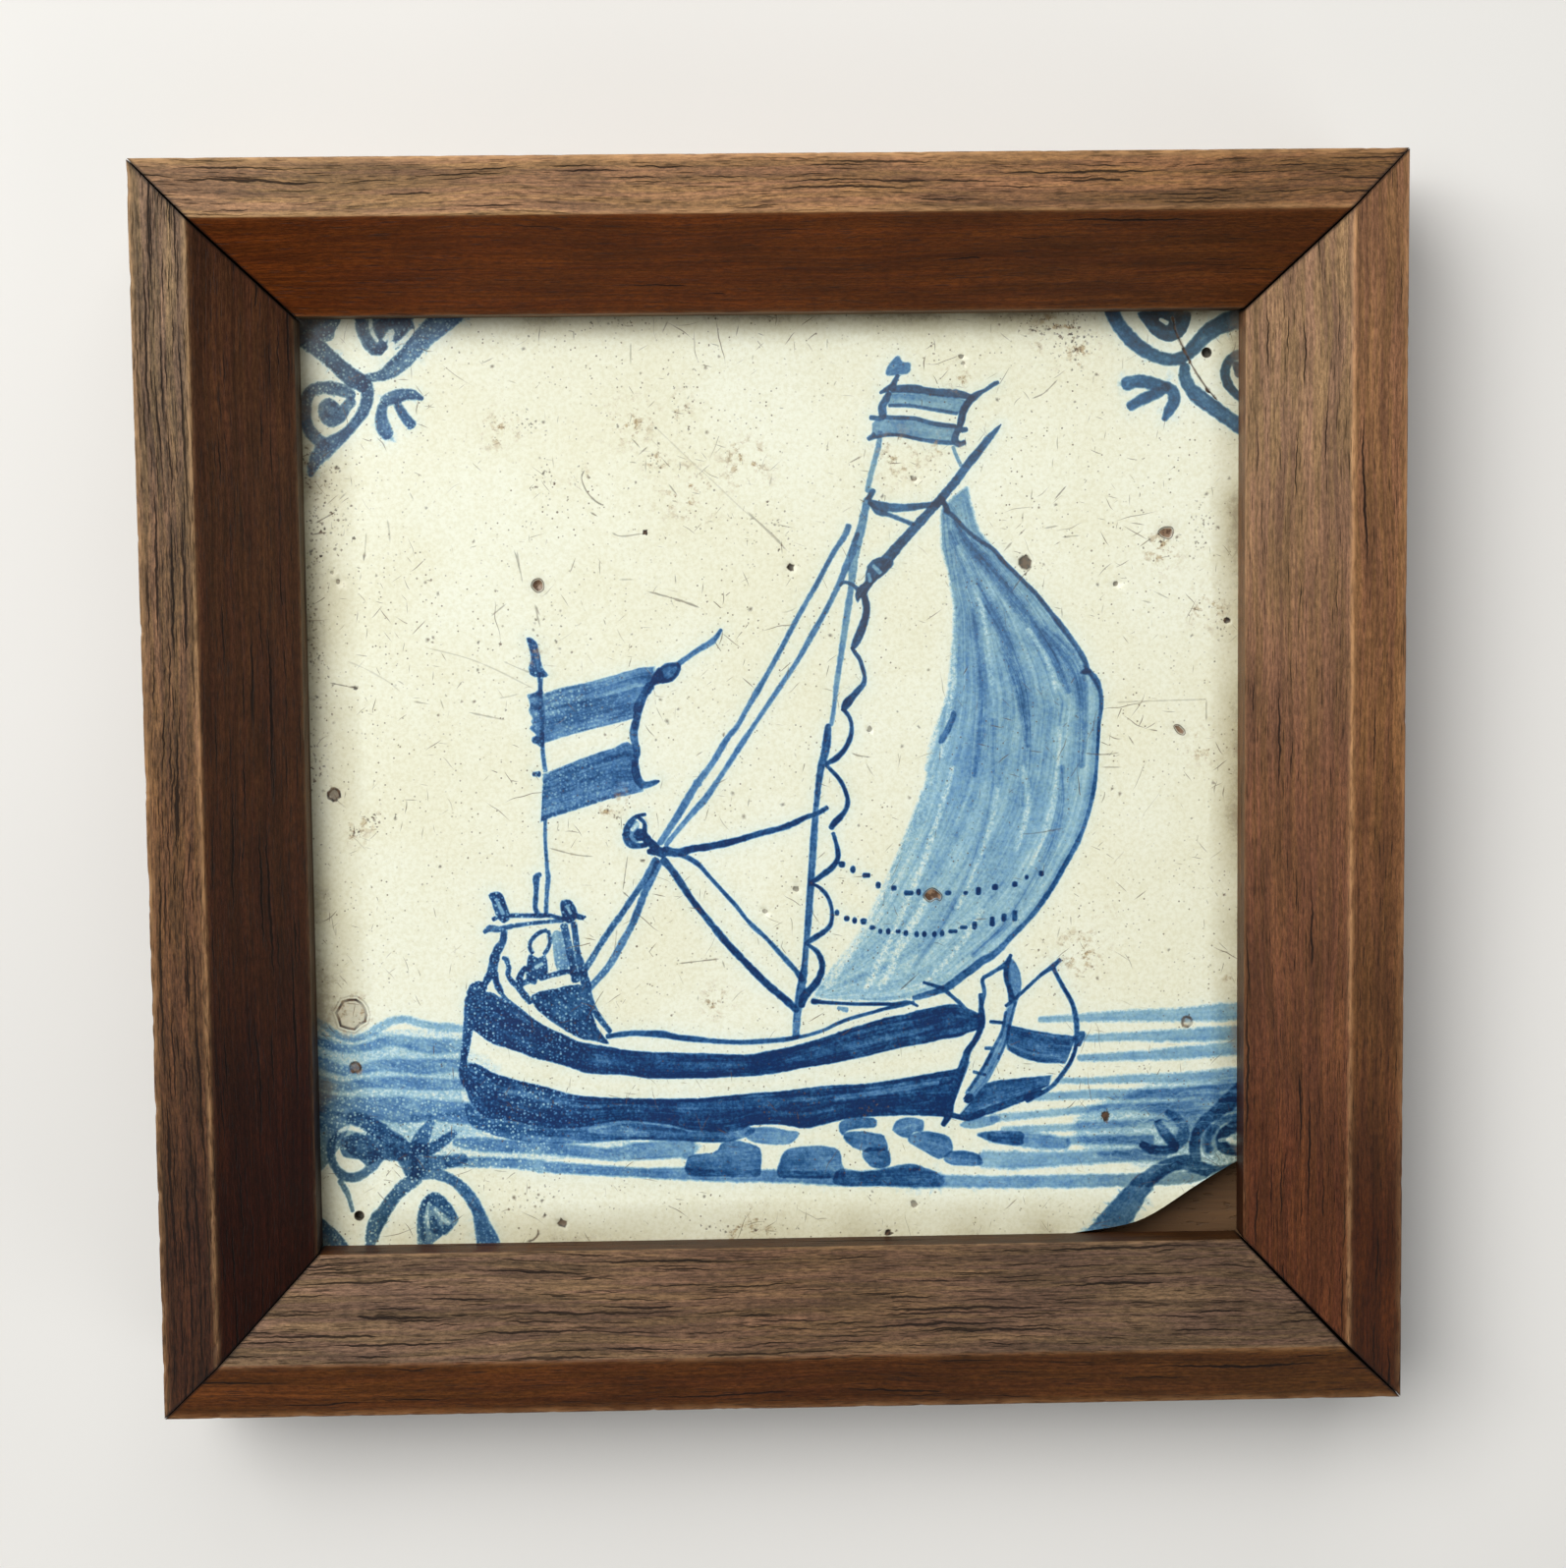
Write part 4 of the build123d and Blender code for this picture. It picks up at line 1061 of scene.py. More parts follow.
def frame_dirt_and_shade(spots):
    """How much old dirt and painted shade of the frame lie along its edges: widest at the left, in patches
    elsewhere.
    """
    x, y = spots.T
    dirt = np.zeros(len(spots))
    for gap, width, amount in (
        (x + SIGHT_HALF, 6.8, 1.12), (SIGHT_HALF - y, 2.8, 0.95), (SIGHT_HALF - x, 3.4, 1.0),
        (y + SIGHT_HALF, 5.0, 0.7),
    ):
        patchy = 0.75 + 0.45 * soft_noise(spots, 5.0, round(10 * width))
        dirt = np.maximum(dirt, amount * patchy * np.clip(1 - gap / width, 0, 1))
    return dirt


# Objects, values and material nodes.

def own_object(name, mesh):
    made = bpy.data.objects.new(name, mesh)
    bpy.context.scene.collection.objects.link(made)
    return made


def give_values(mesh, name, values):
    """Stores one number or vector for each vertex, for the materials to read."""
    values = np.asarray(values, np.float32)
    kind = "FLOAT" if values.ndim == 1 else "FLOAT_VECTOR"
    layer = mesh.attributes.new(name, kind, "POINT")
    layer.data.foreach_set("value" if values.ndim == 1 else "vector", values.ravel())


def read_values(data, name, width, kind=np.float32):
    values = np.empty(len(data) * width, kind)
    data.foreach_get(name, values)
    return values.reshape(-1, width)


class Graph:
    """A material's nodes, made one call at a time."""

    def __init__(self, name):
        self.material = bpy.data.materials.new(name)
        self.material.use_nodes = True
        self.tree = self.material.node_tree
        self.shader = self.tree.nodes["Principled BSDF"]

    def put(self, socket, value):
        if isinstance(value, bpy.types.NodeSocket):
            self.tree.links.new(value, socket)
        else:
            socket.default_value = value

    def node(self, kind, inputs=(), **settings):
        made = self.tree.nodes.new("ShaderNode" + kind)
        for key, value in settings.items():
            setattr(made, key, value)
        for key, value in dict(inputs).items():
            self.put(made.inputs[key], value)
        return made

    def math(self, operation, a, b=0.0, c=0.0, clamp=False):
        return self.node("Math", {0: a, 1: b, 2: c}, operation=operation, use_clamp=clamp).outputs[0]

    def remap(self, value, low, high, new_low=0.0, new_high=1.0):
        made = self.node("MapRange", {"Value": value, "From Min": low, "From Max": high, "To Min": new_low,
                                      "To Max": new_high}, interpolation_type="SMOOTHSTEP")
        return made.outputs["Result"]

    def mix(self, share, a, b, blend="MIX"):
        made = self.node("Mix", data_type="RGBA", blend_type=blend)
        self.put(made.inputs["Factor"], share)
        self.put(made.inputs[6], a)
        self.put(made.inputs[7], b)
        return made.outputs[2]

    def value(self, name):
        return self.node("Attribute", attribute_name=name).outputs["Fac"]

    def vector(self, name):
        return self.node("Attribute", attribute_name=name).outputs["Vector"]

    def noise(self, vector, scale, detail=3.0, rough=0.55):
        return self.node("TexNoise", {"Vector": vector, "Scale": scale, "Detail": detail,
                                      "Roughness": rough}).outputs["Fac"]

    def stretched(self, vector, stretch):
        return self.node("VectorMath", {0: vector, 1: stretch}, operation="MULTIPLY").outputs[0]

    def ramp(self, value, stops):
        made = self.node("ValToRGB", {"Fac": value})
        ramp = made.color_ramp
        while len(ramp.elements) < len(stops):
            ramp.elements.new(0.5)
        for element, (place, colour) in zip(ramp.elements, stops):
            element.position = place
            element.color = colour
        return made.outputs["Color"]

    def bump(self, height, strength, distance):
        inputs = {"Height": height, "Strength": strength, "Distance": distance}
        return self.node("Bump", inputs).outputs["Normal"]


def rgb(red, green, blue):
    """A colour from 0-255 numbers, in Blender's linear terms."""
    shares = red / 255, green / 255, blue / 255
    return (*[v / 12.92 if v <= 0.04045 else ((v + 0.055) / 1.055) ** 2.4 for v in shares], 1.0)


def fissure_lines(g, along, across, length, lane, chance, width, seed):
    """Thin lines side by side: one at most in each cell of a lane, tapered to both ends."""
    lanes = g.math("DIVIDE", across, lane)
    row = g.math("FLOOR", lanes)
    start = g.node("TexWhiteNoise", {"Vector": g.node("CombineXYZ", {0: row, 1: seed}).outputs[0]})
    cells = g.math("ADD", g.math("DIVIDE", along, length), g.math("MULTIPLY", start.outputs["Value"], 31.0))
    column = g.math("FLOOR", cells)
    own = g.node("TexWhiteNoise", {"Vector": g.node("CombineXYZ", {0: row, 1: column, 2: seed}).outputs[0]})
    own = g.node("SeparateColor", {0: own.outputs["Color"]}).outputs
    there = g.math("LESS_THAN", own[0], chance)
    reach = g.math("MULTIPLY_ADD", own[1], 0.28, 0.2)
    place = g.math("DIVIDE", g.math("SUBTRACT", g.math("FRACT", cells), 0.5), reach)
    taper = g.math("SUBTRACT", 1.0, g.math("MULTIPLY", place, place), clamp=True)
    centre = g.math("MULTIPLY_ADD", own[2], 0.5, 0.25)
    off = g.math("ABSOLUTE", g.math("SUBTRACT", g.math("FRACT", lanes), centre))
    half = g.math("MULTIPLY", taper, g.math("MULTIPLY_ADD", own[1], 0.6 * width, 0.7 * width))
    line = g.math("SUBTRACT", half, g.math("MULTIPLY", off, lane))
    return g.math("MULTIPLY", g.math("DIVIDE", line, 0.05, clamp=True), there)


# The tile.

def glaze_material():
    g = Graph("painted_tin_glaze")
    place = g.node("TexCoord").outputs["Object"]
    pigment, halo, grime, stain, chip, edge, corner, aloft = [
        g.value(name) for name in ("pigment", "halo", "grime", "stain", "chip", "edge", "corner", "aloft")]
    brush = g.vector("brush")
    dry = g.value("streak")

    # The brush's streaks and the pigment's own grain.
    streaks = g.noise(g.stretched(brush, (3.2, 0.14, 1.0)), 1.0, 3.0, 0.6)
    broad = g.noise(g.stretched(brush, (0.9, 0.05, 1.0)), 1.0, 1.0, 0.5)
    streaks = g.math("ADD", g.math("MULTIPLY", streaks, 0.5), g.math("MULTIPLY", broad, 0.5))
    swing = g.math("MULTIPLY", g.remap(streaks, 0.3, 0.7, -1.0, 1.0), dry)
    grain = g.remap(g.noise(place, 2200.0, 3.0, 0.7), 0.3, 0.7, -0.13, 0.13)
    cloud = g.remap(g.noise(place, 260.0, 3.0, 0.6), 0.3, 0.7, -0.14, 0.14)
    factor = g.math("ADD", g.math("MULTIPLY_ADD", swing, 0.32, 0.97), g.math("ADD", grain, cloud))
    thick = g.math("MULTIPLY", pigment, factor, clamp=True)
    # The fringe of each stroke is ragged.
    ragged = g.remap(g.noise(place, 2000.0, 3.0, 0.75), 0.32, 0.68, -0.75, 0.7)
    fringe = g.math("MULTIPLY_ADD", ragged, g.remap(pigment, 0.1, 0.45, 1.0, 0.0), 1.0)
    thick = g.math("MULTIPLY", thick, fringe, clamp=True)
    # Bubbles: pale dots in the pigment, close together at the left and rare elsewhere.
    dots = 0.0
    for scale, inner, outer, strength in ((1250.0, 0.1, 0.29, 0.66), (2050.0, 0.1, 0.36, 0.5)):
        cells = g.node("TexVoronoi", {"Vector": place, "Scale": scale, "Randomness": 0.85},
                       voronoi_dimensions="2D")
        chance = g.node("SeparateColor", {0: cells.outputs["Color"]}).outputs[0]
        own = g.math("MULTIPLY", g.remap(chance, 0.2, 0.8, 0.15, 1.0), strength)
        dot = g.math("MULTIPLY", g.remap(cells.outputs["Distance"], inner, outer, 1.0, 0.0), own)
        dots = g.math("MAXIMUM", dots, dot)
    left_side = g.remap(g.node("SeparateXYZ", {0: place}).outputs[0], -0.034, -0.012, 1.0, 0.1)
    bubbly = g.remap(g.noise(place, 120.0, 2.0, 0.5), 0.34, 0.6, 0.45, 1.0)
    dots = g.math("MULTIPLY", dots, g.math("MULTIPLY", left_side, bubbly))
    thick = g.math("MULTIPLY", thick, g.math("SUBTRACT", 1.0, dots), clamp=True)

    painted = g.ramp(thick, [
        (0.0, rgb(247, 247, 233)), (0.1, rgb(219, 236, 241)), (0.24, rgb(167, 206, 229)),
        (0.4, rgb(129, 174, 210)), (0.56, rgb(86, 135, 190)), (0.72, rgb(46, 98, 156)),
        (0.86, rgb(17, 70, 127)), (1.0, rgb(5, 43, 98)),
    ])
    bleed = g.math("MULTIPLY", g.math("MULTIPLY", halo, 0.55), g.remap(thick, 0.0, 0.2, 1.0, 0.0))
    painted = g.mix(bleed, painted, rgb(228, 242, 242))

    # The corner motifs are a duller, darker blue, for dirt and painted shade of the frame there; and so, a
    # little, is the upper right of the picture.
    painted = g.mix(g.math("MULTIPLY", corner, g.remap(thick, 0.1, 0.4)), painted,
                    g.mix(1.0, painted, rgb(232, 214, 190), "MULTIPLY"))
    grey = g.math("MULTIPLY", g.math("MULTIPLY", aloft, g.remap(thick, 0.5, 0.85)), 0.18)
    painted = g.mix(grey, painted, rgb(150, 150, 132))

    # The glaze: mottled cream, with tiny specks, faint craze lines and ochre stains.
    wide_mottle = g.noise(place, 55.0, 3.0, 0.6)
    fine_mottle = g.noise(place, 1900.0, 3.0, 0.7)
    tone = g.mix(g.remap(wide_mottle, 0.35, 0.65), rgb(246, 248, 242), rgb(242, 242, 231))
    painted = g.mix(1.0, painted, tone, "MULTIPLY")
    fine_tone = g.mix(g.remap(fine_mottle, 0.36, 0.7), rgb(255, 255, 255), rgb(244, 242, 234))
    painted = g.mix(1.0, painted, fine_tone, "MULTIPLY")
    blots = g.remap(g.noise(place, 750.0, 4.0, 0.7), 0.51, 0.66)
    stained = g.math("MULTIPLY", stain, blots)
    painted = g.mix(g.math("MULTIPLY", stained, 0.95), painted, rgb(170, 142, 92))
    cracks = g.node("TexVoronoi", {"Vector": place, "Scale": 900.0, "Randomness": 1.0},
                    feature="DISTANCE_TO_EDGE")
    veins = g.math("MULTIPLY", g.remap(cracks.outputs["Distance"], 0.02, 0.07, 1.0, 0.0), stained)
    painted = g.mix(g.math("MULTIPLY", veins, 0.7), painted, rgb(92, 66, 42))

    # Fine specks and hair scratches, thicker in some parts and in the stains.
    worn_parts = g.remap(g.noise(place, 75.0, 3.0, 0.65), 0.42, 0.6, 0.28, 1.0)
    worn_parts = g.math("MAXIMUM", worn_parts, stain, clamp=True)
    wear = 0.0
    for scale, rare, inner, outer in (
        (430.0, 0.55, 0.04, 0.09), (900.0, 0.4, 0.06, 0.14), (1500.0, 0.55, 0.1, 0.24),
    ):
        cells = g.node("TexVoronoi", {"Vector": place, "Scale": scale, "Randomness": 1.0})
        own = g.node("SeparateColor", {0: cells.outputs["Color"]}).outputs
        speck = g.math("MULTIPLY", g.remap(cells.outputs["Distance"], inner, outer, 1.0, 0.0),
                       g.remap(own[0], rare, rare + 0.3))
        wear = g.math("MAXIMUM", wear, speck)
    bend = g.math("MULTIPLY_ADD", g.noise(place, 130.0, 2.0, 0.5), 3.0, -1.5)
    parts = g.node("SeparateXYZ", {0: place}).outputs
    crowded = g.remap(g.noise(place, 110.0, 3.0, 0.6), 0.46, 0.62, 0.1, 1.0)
    crowded = g.math("MAXIMUM", crowded, g.math("MULTIPLY", stain, 0.9))
    for number, (degrees, length, lane, chance, width) in enumerate((
        (14, 9.0, 4.2, 0.34, 0.075), (62, 7.0, 3.6, 0.3, 0.07), (103, 8.0, 4.6, 0.34, 0.075),
        (147, 6.0, 3.4, 0.34, 0.07), (38, 3.2, 1.5, 0.32, 0.07), (85, 2.6, 1.3, 0.3, 0.07),
        (124, 3.0, 1.6, 0.32, 0.07), (170, 2.4, 1.4, 0.3, 0.07),
    )):
        east, north = math.cos(math.radians(degrees)) / MM, math.sin(math.radians(degrees)) / MM
        along = g.math("MULTIPLY_ADD", parts[1], north, g.math("MULTIPLY", parts[0], east))
        across = g.math("MULTIPLY_ADD", parts[1], east, g.math("MULTIPLY_ADD", parts[0], -north, bend))
        chance = g.math("MULTIPLY", crowded, 0.42 * chance)
        line = fissure_lines(g, along, across, length, lane, chance, width, 10.0 + number)
        wear = g.math("MAXIMUM", wear, g.math("MULTIPLY", line, 0.9))
    wear = g.math("MULTIPLY", wear, g.math("MAXIMUM", worn_parts, g.math("MULTIPLY", crowded, 0.9)))
    painted = g.mix(g.math("MULTIPLY", wear, 0.85), painted, rgb(88, 68, 48))

    # Old dirt in the pits; along the edges of the frame, old dirt together with painted shade.
    spread = g.math("MULTIPLY_ADD", g.noise(place, 700.0, 5.0, 0.75), 1.6, -0.8)
    # Painted shade, with some dirt, toward the rails: a soft darkening, then a mottled darker rim next to
    # them.
    shade_and_dirt_veil = g.math("POWER", edge, 0.6, clamp=True)
    painted = g.mix(shade_and_dirt_veil, painted, g.mix(1.0, painted, rgb(204, 196, 178), "MULTIPLY"))
    rim = g.remap(g.math("ADD", edge, g.math("MULTIPLY", spread, g.remap(edge, 0.0, 0.3))), 0.5, 1.15)
    painted = g.mix(g.math("MULTIPLY", rim, 0.55), painted, rgb(116, 100, 80))
    dirt = g.mix(g.remap(g.noise(place, 1500.0, 2.0, 0.5), 0.4, 0.6), rgb(38, 28, 22), rgb(84, 60, 40))
    painted = g.mix(grime, painted, dirt)
    clay = g.mix(g.remap(g.noise(place, 1300.0, 2.0, 0.6), 0.4, 0.6), rgb(140, 114, 90), rgb(84, 62, 46))
    painted = g.mix(chip, painted, clay)

    g.put(g.shader.inputs["Base Color"], painted)
    worn = g.math("MULTIPLY_ADD", g.noise(place, 140.0, 3.0, 0.6), 0.14, 0.24)
    rough = g.math("MULTIPLY_ADD", g.math("MAXIMUM", grime, rim), 0.35, worn, clamp=True)
    g.put(g.shader.inputs["Roughness"], rough)
    g.shader.inputs["Specular IOR Level"].default_value = 0.4
    height = g.math("ADD", g.noise(place, 520.0, 3.0, 0.6), g.math("MULTIPLY", grime, -1.4))
    g.put(g.shader.inputs["Normal"], g.bump(height, 0.35, 0.00006))
    return g.material


def clay_material():
    g = Graph("fired_clay")
    place = g.node("TexCoord").outputs["Object"]
    coarse = g.noise(place, 260.0, 5.0, 0.65)
    fine = g.noise(place, 1800.0, 3.0, 0.7)
    body = g.mix(g.remap(coarse, 0.35, 0.65), rgb(196, 164, 124), rgb(168, 132, 96))
    body = g.mix(g.remap(fine, 0.55, 0.72), body, rgb(120, 88, 62))
    g.put(g.shader.inputs["Base Color"], body)
    g.put(g.shader.inputs["Roughness"], g.remap(fine, 0.2, 0.8, 0.78, 0.95))
    g.put(g.shader.inputs["Normal"], g.bump(g.math("ADD", coarse, fine), 0.6, 0.0003))
    return g.material


def boundary_loops(faces):
    """The closed lines of vertices round a set of faces."""
    chosen = set(faces)
    follow = {}
    for face in faces:
        for loop in face.loops:
            others = [f for f in loop.edge.link_faces if f is not face and f in chosen]
            if not others:
                follow[loop.vert] = loop.link_loop_next.vert
    loops = []
    while follow:
        first = next(iter(follow))
        line = [first]
        step = follow.pop(first)
        while step is not first:
            line.append(step)
            step = follow.pop(step)
        loops.append(line)
    return sorted(loops, key=len, reverse=True)


def lay_out(shape):
    """The tile's UV map: its face large, the sides in two margins, the back small in their corner."""
    layer = shape.loops.layers.uv.new("OFBake")
    scale = 0.896 / (2 * TILE_HALF)
    for face in shape.faces:
        x, y, z = np.array(face.calc_center_median()) / MM
        nx, ny, nz = face.normal
        hole = np.hypot(*(PRICKS - (x, y)).T).argmin()
        for loop in face.loops:
            px, py, pz = np.array(loop.vert.co) / MM
            up = (pz - TILE_BACK_Z) / (FACE_Z - TILE_BACK_Z) * 0.04
            right, ahead = px + TILE_HALF, py + TILE_HALF
            if face.material_index == 0 or nz > 0.5 and z > FACE_Z - GLAZE_REACH:
                spot = 0.004 + scale * right, 0.004 + scale * ahead
            elif np.hypot(*(PRICKS[hole] - (x, y))) < 0.8 and z > PRICK_FLOOR_Z:
                # The walls of a nail mark lean in, so that they have room inside its mouth.
                px, py = PRICKS[hole] + (np.array([px, py]) - PRICKS[hole]) * (1 - 0.25 * (FACE_Z - pz))
                spot = 0.004 + scale * (px + TILE_HALF), 0.004 + scale * (py + TILE_HALF)
            elif nz < -0.9:
                spot = 0.906 + 0.088 * right / 130, 0.906 + 0.088 * ahead / 130
            elif x > 27 and y < -45 and x < 64.3 and y > -64.3:
                # The broken face lies along the bottom edge, where the corner is missing.
                along = (px - 27.8) * 0.914 + ahead * 0.405
                level = pz - TILE_BACK_Z
                spot = 0.004 + scale * (109.5 + 0.5 * along), 0.004 + scale * (0.2 + 0.5 * level)
            elif abs(nx) > abs(ny):
                spot = (0.906 if nx < 0 else 0.952) + up, 0.004 + scale * ahead
            else:
                spot = 0.004 + scale * right, (0.906 if ny < 0 else 0.952) + up
            loop[layer].uv = spot


def tile_mesh(source):
    """The CAD tile with its face made again from the painting's contours."""
    shape = bmesh.new()
    shape.from_mesh(source)
    top = [f for f in shape.faces
           if f.normal.z > 0.999 and min(v.co.z for v in f.verts) > FACE_Z * MM - 1e-6]
    loops = boundary_loops(top)
    rings = [np.array([v.co[:2] for v in line]) / MM for line in loops]
    rings.sort(key=lambda ring: -np.ptp(ring[:, 0]))
    outline, holes = rings[0], rings[1:]
    bmesh.ops.delete(shape, geom=top, context="FACES_ONLY")

    def inside(places):
        """How far each place is inside the face's outline and outside its holes."""
        depth = -ring_distance(places, outline)
        for hole in holes:
            depth = np.minimum(depth, ring_distance(places, hole))
        return depth

    spots, edges = [], []

    def add_ring(ring):
        first = len(spots)
        spots.extend(map(tuple, ring))
        edges.extend((first + i, first + i + 1) for i in range(len(ring) - 1))
        edges.append((first + len(ring) - 1, first))

    for ring in rings:
        add_ring(ring)
    for hole in holes:
        for amount in (-0.1, -0.3):
            add_ring(inset_ring(hole, amount))

    def add_contour(ring, closed=True):
        """Adds the parts of a contour that lie well inside the face."""
        first = len(spots)
        number = {}
        for i in np.flatnonzero(inside(ring) > 0.15):
            number[i] = first + len(number)
            spots.append(tuple(ring[i]))
        count = len(ring)
        for i in range(count if closed else count - 1):
            j = (i + 1) % count
            if i in number and j in number:
                edges.append((number[i], number[j]))

    for ink in inks:
        for ring in ink.contours():
            add_contour(ring)
    for ring, _ in blisters:
        for amount in (-0.68, -0.5, -0.34, -0.24, -0.12, 0.0, 0.12, 0.24, 0.34):
            add_contour(inset_ring(ring, amount))
    for chip in CHIPS:
        ring = smooth_curve(on_face(chip), step=0.3, closed=True)
        for amount in (-0.13, -0.02, 0.1, 0.17):
            add_contour(inset_ring(ring, amount))
    for mark in marks:
        add_contour(mark.outer)
        add_contour(mark.inner, closed=len(mark.inner) == len(mark.outer))

    # A jittered grid between the contours, for the glaze's slight waves, where no other spot is close.
    ticks = np.arange(-64.0, 64.1, 1.2)
    grid = np.array(np.meshgrid(ticks, ticks)).reshape(2, -1).T
    grid = grid + dice.uniform(-0.3, 0.3, grid.shape)
    cell = 0.45
    taken = {(int(x // cell), int(y // cell)) for x, y in spots}
    spots += [(x, y) for x, y in grid[inside(grid) > 0.4] if (int(x // cell), int(y // cell)) not in taken]

    made = delaunay_2d_cdt([Vector(s) for s in spots], edges, [], 0, 1e-4, False)
    places = np.array([tuple(v) for v in made[0]])
    faces = np.array([f for f in made[2] if len(f) == 3])
    middle = places[faces].mean(1)
    faces = faces[inside(middle) > 0]

    depth = inside(places)
    wave = 0.035 + 0.02 * soft_noise(places, 9.0, 5) + 0.012 * soft_noise(places, 3.7, 6)
    pit = paint(places)["depth"]
    drop = (np.maximum(wave, 0) + pit) * np.clip((depth - 0.001) / 0.5, 0, 1)

    used = np.unique(faces)
    fresh = {i: shape.verts.new((places[i, 0] * MM, places[i, 1] * MM, (FACE_Z - drop[i]) * MM))
             for i in used}
    for face in faces:
        shape.faces.new([fresh[i] for i in face])
    rim = [fresh[i] for i in used if depth[i] < 1e-3] + [v for line in loops for v in line if v.is_valid]
    bmesh.ops.remove_doubles(shape, verts=rim, dist=2e-6)
    shape.normal_update()
    for face in shape.faces:
        face.smooth = True
        low = min(v.co.z for v in face.verts) / MM
        middle = np.array(face.calc_center_median()) / MM
        pricked = np.hypot(*(PRICKS - middle[:2]).T).min() < 0.7 and middle[2] > PRICK_FLOOR_Z
        glazed = face.normal.z > 0.12 and low > FACE_Z - GLAZE_REACH
        face.material_index = 0 if glazed or pricked else 1
    lay_out(shape)
    mesh = bpy.data.meshes.new("tile_painted")
    shape.to_mesh(mesh)
    shape.free()
    mesh.set_sharp_from_angle(angle=math.radians(38))
    return mesh


painted_mesh = tile_mesh(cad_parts["tile"].data)
places = read_values(painted_mesh.vertices, "co", 3, float) / MM
in_prick = (np.hypot(*(places[:, None, :2] - PRICKS).T) < 0.7).any(0)
on_top = (places[:, 2] > FACE_Z - GLAZE_REACH) | in_prick & (places[:, 2] > PRICK_FLOOR_Z)
coat = paint(places[:, :2])
coat["grime"] = np.maximum(coat["grime"], in_prick * 0.8)
for name in ("pigment", "halo", "grime", "stain", "chip"):
    give_values(painted_mesh, name, coat[name] * on_top)
give_values(painted_mesh, "streak", coat["streak"])
give_values(painted_mesh, "brush", coat["brush"])
# Dirt and painted shade along the frame, for the glaze to darken.
give_values(painted_mesh, "edge", frame_dirt_and_shade(places[:, :2]))
# The corner value: dirt and painted shade of the frame near the tile's corners, and a little in the upper
# right.
to_corner = np.hypot(SIGHT_HALF - abs(places[:, 0]), SIGHT_HALF - abs(places[:, 1]))
aloft = np.clip((places[:, 0] + 2.0) / 12.0, 0, 1) * np.clip((places[:, 1] - 4.0) / 22.0, 0, 1)
give_values(painted_mesh, "corner", np.maximum(np.clip(1.6 - to_corner / 15.0, 0, 1), 0.28 * aloft))
give_values(painted_mesh, "aloft", aloft)
tile = own_object("painted_tile", painted_mesh)
tile.data.materials.append(glaze_material())
tile.data.materials.append(clay_material())
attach(tile, "root")
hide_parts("tile")


# The rails.

